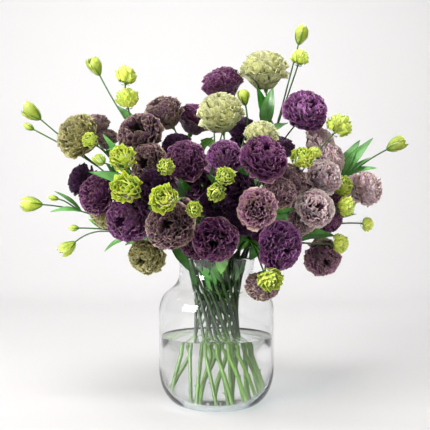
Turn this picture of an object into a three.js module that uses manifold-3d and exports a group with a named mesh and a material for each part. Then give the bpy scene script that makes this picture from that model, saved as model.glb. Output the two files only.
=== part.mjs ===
// A bunch of double lisianthus standing in a clear glass vase of water.
// Millimetres, +Z up, origin at the centre of the vase's base.
// The viewer of the photograph stands on the -Y side.
import * as THREE from "three";
import { mergeVertices } from "three/addons/utils/BufferGeometryUtils.js";
import Module from "manifold-3d";

const wasm = await Module();
wasm.setup();

// Driving dimensions
const vase = {
  radius: 100,
  height: 254,
  baseRadius: 58,
  heelHeight: 64,
  sideTop: 160,
  neckRadius: 65,
  neckHeight: 226,
  mouthRadius: 67.5,
  wall: 3.5,
  floor: 7,
  sides: 24,
};
const water = { level: 119, meniscus: 1.5 };
const gap = 0.3; // between pieces that touch

// How the stems run: straight strands of a hand-tied spiral, crossing at the waist
const spiral = {
  waistHeight: 160,
  mouthHeight: 262,
  outer: { waist: 36, foot: 68 },
  inner: { waist: 15, foot: 38 },
  mouthTurn: 50, // degrees from the waist back to the azimuth at the mouth
};
const stemRadius = 2.8;
const stalkRadius = 1.35;
const calyx = { length: 9, radius: 7.5 };
const leafBlade = { thickness: 1.1, fold: 0.16, droop: 0.12, rear: 60 };

// Half the depth of each kind of head along its axis, as a share of its width
const halfDepth = { bloom: 0.41, ball: 0.44, bud: 0.66 };

// The photograph's view: pixels are in its 430 by 430 frame
const view = { distance: 1100, height: 286, millimetresPerPixel: 1.75, axisPixel: 216.5, horizonPixel: 239 };
const heart = new THREE.Vector3(0, 20, 290); // the heads look away from here unless the list says otherwise

// A head is [pixel across, pixel down, millimetres behind the vase's axis], its width in millimetres
// and its facing.
const bloom = (tone, at, wide, face, more) => ({ kind: "bloom", tone, at, wide, face, ...more });
const ball = (at, wide, face, more) => ({ kind: "ball", at, wide, face, ...more });
const bud = (at, wide, face, more) => ({ kind: "bud", at, wide, face, ...more });
const joined = { joined: true }; // pressed into the bloom before it in the list
const core = { core: true }; // well inside the bunch, so plainer

// A spray is one cut stem. turn is its azimuth at the vase's mouth, from +X towards +Y.
// A leaf is [what it grows on, how far along, where its tip is, its width].
// It grows on the "stem", or on the stalk of the head with that number.
const sprays = [
  {
    name: "top_left",
    ring: "inner",
    turn: 182,
    heads: [
      bloom("mauve", [163, 115, -30], 68, [-0.5, -0.6, 0.65]),
      ball([126, 76, -10], 38, [0.1, -0.1, 1]),
      ball([127, 99, -30], 42, [-0.1, -0.4, 1]),
      bud([95, 66, 0], 27, [-0.45, -0.1, 0.9]),
    ],
    leaves: [[1, 0.5, [118, 106, -5], 15], [2, 0.45, [146, 108, 0], 20], [0, 0.3, [104, 150, -60], 24]],
  },
  {
    name: "top_back",
    ring: "inner",
    turn: 105,
    heads: [
      bloom("plum", [225, 84, -10], 72, [-0.1, -0.3, 0.95]),
      bloom("plum", [194, 119, 10], 68, [0.3, -0.15, 0.95]),
      bloom("dark", [177, 146, -40], 52, [-0.35, -0.1, 0.9]),
      bloom("plum", [212, 117, 85], 64, [-0.1, 0.6, 0.8]),
    ],
    leaves: [[1, 0.5, [214, 136, -20], 20], [0, 0.5, [200, 140, 30], 18]],
  },
  {
    name: "top_front",
    ring: "inner",
    turn: 240,
    heads: [
      bloom("cream", [222, 112, -80], 76, [-0.15, -0.5, 0.85]),
      bud([242, 98, -70], 21, [-0.25, -0.1, 1]),
      bloom("dark", [243, 150, -10], 54, [0.3, -0.6, 0.7], core),
      bloom("dark", [241, 128, 20], 56, [0.1, -0.1, 1], joined),
    ],
    leaves: [[0, 0.15, [203, 188, -110], 26]],
  },
  {
    name: "top_right",
    ring: "inner",
    turn: 305,
    heads: [
      bloom("cream", [263, 71, -30], 80, [-0.1, -0.5, 0.85]),
      bloom("cream", [261, 136, -110], 56, [0.15, -0.5, 0.85]),
    ],
    leaves: [[0, 0.62, [273, 87, -35], 25], [0, 0.66, [257, 87, -50], 15], [0, 0.5, [288, 123, -20], 17]],
  },
  {
    name: "crown_right",
    ring: "inner",
    turn: 8,
    heads: [
      bloom("purple", [308, 113, -40], 76, [0.35, -0.8, 0.4]),
      bloom("dark", [281, 148, -20], 48, [0.5, -0.1, 0.8]),
      bud([301, 35, 10], 26, [0.25, -0.1, 0.95]),
      ball([300, 58, -10], 33, [0.25, -0.1, 0.95]),
    ],
    leaves: [[2, 0.3, [270, 118, 5], 18]],
  },
  {
    name: "right",
    ring: "outer",
    turn: 0,
    heads: [
      bloom("lilac", [366, 187, -20], 62, [0.8, -0.55, 0.2]),
      bloom("lilac", [351, 190, 30], 52, [0.85, 0.35, 0.1], joined),
      bud([396, 145, 0], 27, [0.9, -0.1, 0.45]),
      ball([341, 185, -65], 36, [0.3, -0.85, 0.3]),
    ],
    leaves: [
      [2, 0.4, [360, 140, 0], 24],
      [2, 0.45, [373, 138, -5], 20],
      [2, 0.5, [371, 157, -10], 13],
      [2, 0.62, [377, 168, -10], 12],
    ],
  },
  {
    name: "back_right",
    ring: "outer",
    turn: 42,
    heads: [
      bloom("plum", [248, 171, 142], 60),
      bloom("plum", [275, 181, 138], 62, undefined, joined),
      bloom("plum", [298, 193, 108], 58, undefined, joined),
      bloom("plum", [291, 218, 130], 60, undefined, joined),
      bloom("plum", [265, 212, 165], 62, undefined, joined),
      bloom("plum", [242, 200, 182], 60, undefined, joined),
      ball([268, 184, 195], 34),
      bud([324, 168, 130], 26, [0.7, 0.6, 0.4]),
    ],
    leaves: [
      [0, 0.5, [290, 155, 150], 20],
      [7, 0.5, [330, 185, 150], 18],
      ["stem", 0.9, [300, 240, 175], 22],
    ],
  },
  {
    name: "back",
    ring: "outer",
    turn: 85,
    heads: [
      bloom("purple", [209, 175, 148], 60),
      bloom("purple", [184, 179, 145], 60, undefined, joined),
      bloom("purple", [191, 205, 178], 62, undefined, joined),
      bloom("purple", [217, 213, 190], 62, undefined, joined),
      bloom("purple", [228, 238, 170], 58, undefined, joined),
      ball([215, 188, 222], 34),
    ],
    leaves: [[0, 0.5, [228, 172, 210], 22], ["stem", 0.9, [195, 245, 200], 22]],
  },
  {
    name: "back_left",
    ring: "outer",
    turn: 128,
    heads: [
      bloom("mauve", [152, 175, 120], 60),
      bloom("mauve", [124, 184, 85], 58, undefined, joined),
      bloom("mauve", [133, 211, 115], 60, undefined, joined),
      bloom("mauve", [161, 209, 152], 60, undefined, joined),
      bloom("mauve", [169, 237, 150], 56, undefined, joined),
      ball([140, 190, 165], 32),
      bud([100, 160, 140], 26, [-0.6, 0.7, 0.45]),
    ],
    leaves: [[6, 0.5, [115, 170, 160], 18], ["stem", 0.9, [140, 250, 150], 22]],
  },
  {
    name: "left_high",
    ring: "outer",
    turn: 163,
    heads: [
      bloom("olive", [79, 136, -20], 78, [-0.6, -0.68, 0.3]),
      bloom("mauve", [109, 143, 25], 44, [-0.1, -0.3, 0.9]),
      bloom("mauve", [93, 122, 30], 48, [-0.4, 0.1, 0.9], joined),
      bloom("mauve", [141, 137, -70], 74, [-0.3, -0.88, 0.35]),
      bloom("mauve", [148, 163, -95], 60, [-0.35, -0.93, -0.1], joined),
      bud([32, 112, 0], 29, [-0.75, -0.1, 0.65]),
      bud([29, 127, 0], 14, [-0.85, -0.1, 0.45], { on: 5, from: 0.55 }),
      ball([90, 140, -80], 27, [-0.3, -0.9, 0.2]),
      ball([122, 158, -120], 44, [-0.2, -0.95, 0.25]),
    ],
    leaves: [[7, 0.5, [103, 134, -40], 17], [8, 0.4, [88, 172, -70], 26]],
  },
  {
    name: "left",
    ring: "outer",
    turn: 185,
    heads: [
      bloom("plum", [97, 194, -50], 68, [-0.55, -0.8, 0.15]),
      bloom("olive", [105, 214, -10], 56, [-0.7, -0.4, -0.5], joined),
      bloom("dark", [83, 180, 20], 60, [-0.85, -0.25, 0.4]),
      bud([31, 204, 0], 30, [-1, -0.1, 0.05]),
      bud([54, 198, 5], 12, [-0.95, -0.1, 0.2], { on: 3, from: 0.68 }),
      bud([74, 228, 0], 13, [-1, -0.1, 0]),
    ],
    leaves: [[3, 0.68, [54, 191, 0], 8], [3, 0.68, [50, 212, -5], 10], [2, 0.3, [106, 163, -70], 22],
      [5, 0.7, [88, 219, 0], 8]],
  },
  {
    name: "left_low",
    ring: "outer",
    turn: 207,
    heads: [
      bloom("purple", [131, 220, -110], 74, [-0.5, -0.84, -0.15]),
      bloom("olive", [146, 254, -90], 60, [-0.45, -0.78, -0.45]),
      ball([130, 189, -145], 50, [-0.2, -0.95, 0.1]),
      bud([68, 248, 0], 25, [-0.75, -0.1, -0.65]),
    ],
    leaves: [[3, 0.35, [104, 252, -20], 11], [1, 0.5, [125, 245, -20], 14]],
  },
  {
    name: "front_left_high",
    ring: "outer",
    turn: 227,
    heads: [
      bloom("plum", [198, 186, -98], 54, [-0.1, -0.8, -0.3], core),
      bloom("plum", [190, 160, -135], 66, [-0.1, -0.85, 0.45], joined),
      bloom("dark", [152, 182, -120], 56, [-0.4, -0.88, 0.2]),
      ball([166, 167, -160], 27, [0.35, -0.9, 0.1]),
    ],
    leaves: [["stem", 0.93, [180, 178, -150], 24]],
  },
  {
    name: "front_left_low",
    ring: "outer",
    turn: 246,
    heads: [
      bloom("mauve", [186, 210, -112], 44, [0, -1, 0], core),
      bloom("mauve", [178, 230, -160], 72, [-0.2, -0.96, 0], joined),
      ball([165, 203, -185], 44, [-0.1, -0.97, 0.1]),
    ],
    leaves: [[2, 0.4, [182, 198, -150], 18], ["stem", 0.235, [197, 266, -34], 16]],
  },
  {
    name: "front_low",
    ring: "outer",
    turn: 264,
    heads: [
      bloom("plum", [217, 238, -170], 68, [0.05, -0.95, -0.2]),
      bloom("plum", [186, 240, -112], 54, [-0.1, -0.75, -0.6], joined),
      bloom("dark", [208, 208, -140], 50, [-0.05, -1, 0.1]),
      bloom("dark", [246, 180, -112], 58, [0.1, -0.9, 0.3], joined),
      bloom("dark", [243, 228, -140], 50, [0.1, -0.95, -0.1], joined),
      ball([194, 209, -185], 25, [0.1, -1, 0.1]),
    ],
    leaves: [[5, 0.5, [203, 217, -165], 12], ["stem", 0.235, [209, 262, -44], 16]],
  },
  {
    name: "front_high",
    ring: "outer",
    turn: 281,
    heads: [
      bloom("plum", [259, 163, -150], 70, [0.1, -0.8, 0.55]),
      bloom("purple", [224, 158, -140], 54, [0, -0.9, 0.4]),
      ball([224, 179, -185], 29, [0.1, -0.95, 0.2]),
      ball([218, 190, -180], 29, [-0.1, -0.95, -0.2]),
    ],
    leaves: [[1, 0.3, [206, 174, -125], 20]],
  },
  {
    name: "front_right",
    ring: "outer",
    turn: 297,
    heads: [
      bloom("mauve", [257, 209, -190], 58, [0.08, -1, 0.05]),
      bloom("mauve", [277, 190, -150], 50, [0.4, -0.8, 0.3]),
      bloom("mauve", [296, 176, -110], 56, [0.5, -0.55, 0.6], joined),
    ],
    leaves: [[1, 0.25, [297, 210, -120], 20], ["stem", 0.235, [236, 262, -32], 15]],
  },
  {
    name: "right_low",
    ring: "outer",
    turn: 313,
    heads: [
      bloom("purple", [262, 229, -92], 46, [0.3, -0.7, 0.2]),
      bloom("purple", [282, 248, -130], 72, [0.4, -0.88, -0.2], joined),
      bloom("mauve", [261, 285, -110], 54, [-0.25, -0.5, -0.8]),
      ball([270, 279, -150], 40, [0.3, -0.9, -0.35]),
    ],
    leaves: [["stem", 0.93, [262, 247, -60], 16], ["stem", 0.97, [333, 234, -60], 24]],
  },
  {
    name: "right_far",
    ring: "outer",
    turn: 329,
    heads: [
      bloom("lilac", [301, 221, -80], 50, [0.2, -0.8, -0.3]),
      bloom("lilac", [318, 205, -120], 58, [0.2, -0.95, 0.1], joined),
      bloom("plum", [330, 217, -50], 52, [0.8, -0.4, -0.3]),
      bloom("plum", [334, 197, -25], 50, [0.8, -0.3, 0.4], joined),
      bloom("mauve", [322, 256, -25], 64, [0.2, -0.9, -0.4]),
      ball([345, 206, -75], 34, [0.8, -0.4, 0.25]),
      ball([367, 224, -10], 26, [0.95, -0.15, -0.1]),
      ball([339, 244, -55], 34, [0.95, -0.2, 0]),
    ],
    leaves: [[4, 0.4, [336, 236, -50], 22], [6, 0.4, [357, 214, -5], 14]],
  },
  {
    name: "right_high",
    ring: "outer",
    turn: 345,
    heads: [
      bloom("lilac", [331, 161, -30], 58, [0.72, -0.45, 0.5]),
      bloom("lilac", [318, 142, 15], 58, [0.7, -0.1, 0.5], joined),
      bloom("lilac", [307, 190, -58], 52, [0.2, -0.8, 0], core),
      bloom("lilac", [320, 179, -100], 62, [0.4, -0.88, 0.2], joined),
      ball([337, 125, -50], 45, [0.5, -0.35, 0.8]),
      ball([301, 162, -125], 37, [0.1, -0.85, 0.45]),
      ball([315, 153, -100], 22, [0.2, -0.5, 0.8]),
    ],
    leaves: [["stem", 0.9, [300, 232, -60], 20]],
  },
];

const up = new THREE.Vector3(0, 0, 1);
const degrees = Math.PI / 180;
const vector = (x, y, z) => new THREE.Vector3(x, y, z);
const around = (radius, angle, z) => vector(radius * Math.cos(angle), radius * Math.sin(angle), z);

// Where something seen in the photograph lies, from its pixel and how far it is behind the vase's axis.
function seen([across, down, depth]) {
  const spread = (view.millimetresPerPixel * (view.distance + depth)) / view.distance;
  return vector((across - view.axisPixel) * spread, depth, view.height + (view.horizonPixel - down) * spread);
}

// Places and facings of the heads
const heads = [];
for (const spray of sprays)
  spray.heads.forEach((head, order) => {
    head.spray = spray;
    head.centre = seen(head.at);
    head.facing = (head.face ? vector(...head.face) : head.centre.clone().sub(heart)).normalize();
    head.across = head.wide / 2;
    head.deep = head.wide * halfDepth[head.kind];
    head.partner = head.joined ? spray.heads[order - 1] : null;
    heads.push(head);
  });

// How far a head reaches along a direction, as a spheroid flattened or drawn out along its facing.
function reach(head, direction) {
  const along = direction.dot(head.facing);
  return Math.sqrt(head.across ** 2 * (1 - along ** 2) + head.deep ** 2 * along ** 2);
}

// Neighbours press each other apart, mostly in depth, so that the view from the front keeps its places.
const settling = { rounds: 400, step: 0.3, clear: 1.2, mobility: vector(0.45, 1, 0.45), partnerShare: 0.8 };
for (let round = 0; round < settling.rounds; round++) {
  const moves = heads.map(() => vector(0, 0, 0));
  heads.forEach((a, i) =>
    heads.forEach((b, j) => {
      if (i === j) return;
      const apart = a.centre.clone().sub(b.centre);
      const distance = apart.length();
      apart.divideScalar(distance);
      const touching = reach(a, apart) + reach(b, apart);
      const partners = a.partner === b || b.partner === a;
      const wanted = partners ? touching * settling.partnerShare : touching + settling.clear;
      if (partners || distance < wanted) moves[i].addScaledVector(apart, (wanted - distance) * settling.step);
    }),
  );
  heads.forEach((head, i) => head.centre.add(moves[i].multiply(settling.mobility)));
}

// Inside of the glass: how high its surface is at a distance from the axis, on the floor and the heel.
function glassHeight(distance) {
  const past = Math.max(0, distance - vase.baseRadius + vase.wall);
  const heelRun = vase.radius - vase.baseRadius;
  const level = Math.sqrt(Math.max(0, 1 - (past / heelRun) ** 2));
  return vase.floor + (vase.heelHeight - vase.floor) * (1 - level);
}

// Points of a cubic curve that leaves and arrives along the given directions, its middle pushed aside.
function bend(start, leaving, end, arriving, aside, count) {
  const pull = 0.36 * start.distanceTo(end);
  const curve = new THREE.CubicBezierCurve3(
    start,
    start.clone().addScaledVector(leaving, pull).add(aside),
    end.clone().addScaledVector(arriving, -pull).add(aside),
    end,
  );
  return curve.getPoints(count);
}

// Ways to push a line aside, growing outwards round its straight way.
function pushes(direction) {
  const side = direction.clone().cross(up).normalize();
  const other = direction.clone().cross(side).normalize();
  const tries = [vector(0, 0, 0)];
  for (const size of [8, 16, 26, 38, 52, 68])
    for (let eighth = 0; eighth < 8; eighth++) {
      const angle = (eighth * Math.PI) / 4;
      const push = side.clone().multiplyScalar(size * Math.cos(angle));
      tries.push(push.addScaledVector(other, size * Math.sin(angle)));
    }
  return tries;
}

// How far a point is outside a head's spheroid, measured towards its centre.
function outside(point, head) {
  const offset = point.clone().sub(head.centre);
  const along = offset.dot(head.facing);
  const square = offset.lengthSq() - along ** 2;
  const scaled = Math.sqrt(square / head.across ** 2 + along ** 2 / head.deep ** 2);
  return offset.length() * (1 - 1 / Math.max(scaled, 1e-6));
}

// The room a line has past every head and every line of another spray: below zero it runs too close.
const lines = [];
const spare = { head: 1.2, line: 1.6 };
function room(points, radius, spray, own) {
  let least = Infinity;
  for (const point of points) {
    for (const head of heads)
      if (head !== own) least = Math.min(least, outside(point, head) - radius - spare.head);
    for (const line of lines)
      if (line.spray !== spray)
        for (const other of line.points)
          least = Math.min(least, point.distanceTo(other) - radius - line.radius - spare.line);
  }
  return least;
}

// Of the curves between two places, the first that is clear, or else the clearest.
function clearest(start, leaving, end, arriving, radius, spray, own) {
  let best = null;
  let most = -Infinity;
  for (const push of pushes(end.clone().sub(start).normalize())) {
    const points = bend(start, leaving, end, arriving, push, bendCount);
    const found = room(points.slice(2), radius, spray, own);
    if (found > most) [best, most] = [points, found];
    if (most >= 0) break;
  }
  return best;
}

// Stems: a straight strand from the foot through the waist to the mouth, then a bend towards the heads
const bendCount = 24;
const tangent = (points, i) =>
  points[Math.min(i + 1, points.length - 1)].clone().sub(points[Math.max(i - 1, 0)]).normalize();
for (const spray of sprays) {
  const ring = spiral[spray.ring];
  const waistAngle = (spray.turn + spiral.mouthTurn) * degrees;
  const waist = around(ring.waist, waistAngle, spiral.waistHeight);
  const drop = spiral.waistHeight - glassHeight(ring.foot + stemRadius);
  const lean = Math.sqrt(ring.foot ** 2 - ring.waist ** 2) / drop;
  const rise = around(-lean, waistAngle + Math.PI / 2, 1);
  const foot = waist.clone().addScaledVector(rise, 3 * stemRadius * lean + 2 * gap - drop);
  const mouth = waist.clone().addScaledVector(rise, spiral.mouthHeight - spiral.waistHeight);
  const middle = spray.heads
    .reduce((sum, head) => sum.add(head.centre).addScaledVector(head.facing, -head.deep), vector(0, 0, 0))
    .divideScalar(spray.heads.length);
  const fork = mouth.clone().lerp(middle, 0.5);
  fork.z = Math.max(fork.z, spiral.mouthHeight + 22);
  const arriving = middle.clone().sub(fork).normalize().lerp(up, 0.25).normalize();
  const rest = clearest(mouth, rise.clone().normalize(), fork, arriving, stemRadius, spray, null);
  const straight = new THREE.LineCurve3(foot, mouth).getPoints(10);
  spray.stem = { spray, radius: stemRadius, points: straight.concat(rest.slice(1)) };
  lines.push(spray.stem);
}

// Stalks: one from the stem, or from another stalk, to the back of each head that isn't held by its partner
for (const spray of sprays)
  spray.heads.forEach((head, order) => {
    if (head.joined) return;
    const line = head.on === undefined ? spray.stem : spray.heads[head.on].stalk;
    const share = head.on === undefined ? 1 - 0.055 * order : head.from;
    const first = Math.min(Math.round(share * (line.points.length - 1)), line.points.length - 1);
    const short = { bloom: calyx.length + 2 * gap, ball: -0.25 * head.deep, bud: 0 }[head.kind];
    const end = head.centre.clone().addScaledVector(head.facing, -head.deep - short);
    const start = line.points[first];
    const leaving = tangent(line.points, first).add(end.clone().sub(start).normalize()).normalize();
    const points = clearest(start, leaving, end, head.facing, stalkRadius, spray, head);
    head.stalk = { spray, radius: stalkRadius, points };
    lines.push(head.stalk);
  });

// A closed mesh as a solid, turned the right way out.
function solid(geometry) {
  geometry.deleteAttribute("normal");
  geometry.deleteAttribute("uv");
  const merged = mergeVertices(geometry, 1e-3);
  const triVerts = new Uint32Array(merged.index.array);
  const vertProperties = new Float32Array(merged.attributes.position.array);
  const make = () => new wasm.Manifold(new wasm.Mesh({ numProp: 3, vertProperties, triVerts }));
  const made = make();
  if (made.volume() > 0) return made;
  for (let i = 0; i < triVerts.length; i += 3)
    [triVerts[i + 1], triVerts[i + 2]] = [triVerts[i + 2], triVerts[i + 1]];
  return make();
}

// The largest of the bodies in a solid: a loose scrap that a cut leaves is dropped.
function largest(made) {
  return made.decompose().reduce((best, body) => (body.volume() > best.volume() ? body : best));
}

// A ball whose points are put in place by a function of the way round, 0 to 2 pi, and of the ring,
// counted from pole to pole.
function moulded(sides, rings, place) {
  const geometry = new THREE.SphereGeometry(1, sides, rings);
  const { position, uv } = geometry.attributes;
  for (let i = 0; i < position.count; i++) {
    const point = place(uv.getX(i) * 2 * Math.PI, Math.round((1 - uv.getY(i)) * rings));
    position.setXYZ(i, point.x, point.y, point.z);
  }
  return solid(geometry);
}

// A rod round a line of points, with a radius at each, closed flat at both ends. slant cuts the foot askew.
function rod(line, radii, sides, grown = 0, slant = 0) {
  const directions = line.map((_, i) => tangent(line, i));
  const points = line.map((point) => point.clone());
  points[0].addScaledVector(directions[0], -grown);
  points.at(-1).addScaledVector(directions.at(-1), grown);
  let side = directions[0].clone().cross(Math.abs(directions[0].z) > 0.9 ? vector(0, 1, 0) : up);
  const sideways = directions.map((direction) => {
    side = side.clone().addScaledVector(direction, -side.dot(direction)).normalize();
    return side;
  });
  return moulded(sides, points.length + 1, (round, level) => {
    const i = Math.min(Math.max(level - 1, 0), points.length - 1);
    const radius = i === level - 1 ? radii[i] + grown : 0;
    const point = points[i].clone().addScaledVector(sideways[i], radius * Math.cos(round));
    point.addScaledVector(directions[i].clone().cross(sideways[i]), radius * Math.sin(round));
    if (i === 0) point.addScaledVector(directions[0], slant * radius * Math.cos(round));
    return point;
  });
}

// A few of a line's points, evenly picked, with its two ends
const picked = (points, steps) =>
  Array.from({ length: steps + 1 }, (_, i) => points[Math.round((i * (points.length - 1)) / steps)]);

// A head from its rings, each [distance from the axis, height, depth of the notches between its petals],
// as shares of the half width and the half depth, from the tip down.
// Petals of one ring stand over notches of the next.
function rosette(head, sides, rings, grown = 0) {
  const reference = Math.abs(head.facing.z) > 0.9 ? vector(0, 1, 0) : up;
  const sideways = head.facing.clone().cross(reference).normalize();
  const other = head.facing.clone().cross(sideways);
  return moulded(sides, rings.length - 1, (round, level) => {
    const [distance, height, notch] = rings[level];
    const inNotch = (Math.round((round * sides) / (2 * Math.PI)) + level) % 2 ? notch : 0;
    const radius = (head.across + grown) * distance * (1 - inNotch);
    return head.centre
      .clone()
      .addScaledVector(sideways, radius * Math.cos(round))
      .addScaledVector(other, radius * Math.sin(round))
      .addScaledVector(head.facing, (head.deep + grown) * (height - inNotch * 0.5));
  });
}
const bloomRings = [
  [0, 0.62, 0],
  [0.4, 1, 0.24],
  [0.4, 0.55, 0],
  [0.8, 0.68, 0.14],
  [0.74, 0.2, 0],
  [1.04, 0.08, 0.15],
  [0.52, -0.8, 0],
  [0, -1, 0],
];
const smallBloomRings = [
  [0, 0.55, 0],
  [0.6, 0.95, 0.2],
  [0.62, 0.4, 0],
  [1.04, 0.15, 0.16],
  [0.5, -0.8, 0],
  [0, -1, 0],
];
const ballRings = [
  [0, 0.5, 0],
  [0.55, 0.92, 0.3],
  [1, 0.1, 0.16],
  [0.6, -0.75, 0],
  [0, -1, 0],
];
const budRadii = [[-0.55, 0.75], [0.1, 1], [1, 0.16]]; // [height, radius], as shares

// Which way a leaf's upper face looks: to the sky, and in front of the bunch's rear also to the viewer.
function leafFace(along, tip) {
  const [first, second] = tip.y > leafBlade.rear ? [up, vector(0, -1, 0.2)] : [vector(0, -0.8, 0.6), up];
  return Math.abs(along.dot(first)) > 0.85 ? second : first;
}

// A leaf: a thin blade, pointed at both ends, folded a little along its rib and arched.
function leaf(base, tip, wide, grown = 0) {
  const length = base.distanceTo(tip);
  const along = tip.clone().sub(base).normalize();
  const side = along.clone().cross(leafFace(along, tip)).normalize();
  const top = side.clone().cross(along).normalize();
  const sections = wide < 15 ? [0, 0.4, 0.75, 1] : [0, 0.2, 0.5, 0.8, 1];
  return moulded(4, sections.length - 1, (round, level) => {
    const place = sections[level];
    const inside = place > 0 && place < 1;
    const half = inside ? (wide / 2) * Math.sin(Math.PI * place ** 0.85) * Math.cos(round) : 0;
    const thick = inside ? (leafBlade.thickness / 2 + grown) * Math.sin(round) : 0;
    const spread = Math.abs(half) < 1e-6 ? 0 : half + grown * Math.sign(half);
    const arch = Math.abs(spread) * 2 * leafBlade.fold + length * leafBlade.droop * Math.sin(Math.PI * place);
    return base
      .clone()
      .addScaledVector(along, length * place + (place === 1 ? grown : 0))
      .addScaledVector(side, spread)
      .addScaledVector(top, thick + arch);
  });
}

// Vase: one wall turned round the axis, drawn up the outside and down the inside
function vaseOutline() {
  const { radius, height, baseRadius, heelHeight, sideTop, neckRadius, neckHeight, mouthRadius } = vase;
  return new THREE.Path()
    .moveTo(baseRadius, 0)
    .bezierCurveTo(baseRadius + 25, 0, radius, heelHeight * 0.45, radius, heelHeight)
    .lineTo(radius, sideTop)
    .bezierCurveTo(radius, sideTop + 44, neckRadius + 3, neckHeight - 32, neckRadius, neckHeight)
    .lineTo(neckRadius, height - 9)
    .lineTo(mouthRadius, height)
    .getPoints(4);
}
const flat = (x, y) => new THREE.Vector2(x, y);
const turned = (points) => solid(new THREE.LatheGeometry(points, vase.sides).rotateX(Math.PI / 2));
const outer = vaseOutline();
const squeeze = (vase.height - vase.floor) / vase.height;
const inside = outer.map(({ x, y }) => flat(x - vase.wall, vase.floor + y * squeeze));
const glass = turned([flat(0, 0), ...outer, ...inside.toReversed(), flat(0, vase.floor)]);

// Water: what the vase holds up to the level, drawn in from the glass by the gap
function waterOutline() {
  const low = inside.filter(({ y }) => y < vase.heelHeight + 8);
  const wet = low.map(({ x, y }) => flat(x - 1.2 * gap, y + gap));
  const side = vase.radius - vase.wall - 1.2 * gap;
  const top = [flat(side, water.level), flat(side - 2 * water.meniscus, water.level - water.meniscus)];
  return [flat(0, vase.floor + gap), ...wet, ...top, flat(0, water.level - water.meniscus)];
}

const tones = {
  plum: [0x3a1a3a, 0.65],
  purple: [0x5a2560, 0.65],
  dark: [0x1e1020, 0.7],
  mauve: [0x6a4a52, 0.7],
  lilac: [0x8a6a86, 0.65],
  olive: [0x75693c, 0.7],
  cream: [0xb9bf72, 0.65],
  green: [0x4c7a33, 0.6],
  glass: [0xe8f0f2, 0.03],
  water: [0xeef4f6, 0.02],
};
const bouquet = new THREE.Group();
bouquet.name = "lisianthus_bunch_in_vase";

// One named mesh from a solid.
function add(name, made, tone) {
  const { vertProperties, triVerts, numProp } = made.getMesh();
  const positions = new Float32Array((vertProperties.length / numProp) * 3);
  for (let i = 0; i < positions.length / 3; i++)
    positions.set(vertProperties.subarray(i * numProp, i * numProp + 3), i * 3);
  const geometry = new THREE.BufferGeometry();
  geometry.setAttribute("position", new THREE.BufferAttribute(positions, 3));
  geometry.setIndex(new THREE.BufferAttribute(new Uint32Array(triVerts), 1));
  geometry.computeVertexNormals();
  const [color, roughness] = tones[tone];
  const see = tone === "glass" || tone === "water";
  const material = new THREE.MeshStandardMaterial({
    color, roughness, transparent: see, opacity: see ? 0.3 : 1, flatShading: true,
  });
  const mesh = new THREE.Mesh(geometry, material);
  mesh.name = name;
  bouquet.add(mesh);
}

// A spray's stem, stalks, calyxes and green heads, all one body.
// grown is added all round for a neighbour's cut.
function greenParts(spray, grown = 0) {
  const { points } = spray.stem;
  const stemPoints = [points[0], points[10], ...picked(points.slice(10), 4).slice(1)];
  const taper = stemPoints.map((_, i) => stemRadius * (1 - 0.03 * i));
  const parts = [rod(stemPoints, taper, 5, grown, 0.8)];
  for (const head of spray.heads.filter(({ stalk }) => stalk)) {
    const length = head.stalk.points[0].distanceTo(head.stalk.points.at(-1));
    const steps = [110, 60, 25].filter((long) => length > long).length + 1;
    const line = picked(head.stalk.points, steps);
    const radii = line.map(() => stalkRadius);
    const along = (height) => head.centre.clone().addScaledVector(head.facing, height);
    if (head.kind === "bloom") {
      line.push(along(-head.deep - 2 * gap));
      radii.push(calyx.radius);
    }
    if (head.kind === "bud")
      for (const [height, radius] of budRadii) {
        line.push(along(head.deep * height));
        radii.push(head.across * radius);
      }
    parts.push(rod(line, radii, head.kind === "ball" ? 3 : 4, grown));
    if (head.kind === "ball") parts.push(rosette(head, 8, ballRings, grown));
  }
  return wasm.Manifold.union(parts);
}

// What is left of a solid once the others are cut out of it.
function clearOf(made, others) {
  const touching = others.filter((other) => made.intersect(other).volume() > 0);
  return touching.reduce((left, other) => left.subtract(other), made);
}

// Stems and stalks first, each clear of those before it
for (const spray of sprays) {
  const before = sprays.slice(0, sprays.indexOf(spray)).map(({ grown }) => grown);
  spray.green = largest(clearOf(greenParts(spray), before));
  spray.grown = greenParts(spray, gap);
}

// Blooms: partners fused, then cut clear of the stalks and of the blooms before them
const bodies = [];
for (const head of heads.filter(({ kind }) => kind === "bloom")) {
  const rings = head.wide > 66 ? bloomRings : smallBloomRings;
  const sides = head.core ? 8 : 10;
  const made = rosette(head, sides, rings);
  const grown = rosette(head, sides, rings, 2 * gap);
  const body = bodies.find(({ members }) => members.includes(head.partner));
  if (body) {
    body.members.push(head);
    body.made = body.made.add(made);
    body.grown = body.grown.add(grown);
  } else bodies.push({ members: [head], made, grown });
}
const grownSprays = sprays.map(({ grown }) => grown);
for (const body of bodies) {
  const before = bodies.slice(0, bodies.indexOf(body)).map(({ grown }) => grown);
  body.made = largest(clearOf(body.made, [...before, ...grownSprays]));
}

// Leaves: each cut clear of the blooms and of other sprays, then fused to the stalk it grows from
for (const spray of sprays) {
  const otherSprays = sprays.filter((other) => other !== spray);
  const others = [...bodies, ...otherSprays].map(({ grown }) => grown);
  for (const [on, share, tipSeen, wide] of spray.leaves) {
    const line = on === "stem" ? spray.stem : spray.heads[on].stalk;
    const base = line.points[Math.round(share * (line.points.length - 1))];
    const whole = leaf(base, seen(tipSeen), wide);
    const cut = clearOf(whole, others);
    const rooted = cut.decompose().filter((body) => body.intersect(spray.green).volume() > 0);
    const kept = rooted.reduce((sum, body) => sum + body.volume(), 0) / whole.volume();
    if (kept < 0.5) continue;
    spray.green = wasm.Manifold.union([spray.green, ...rooted]);
    spray.grown = spray.grown.add(leaf(base, seen(tipSeen), wide, gap));
  }
}

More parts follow.
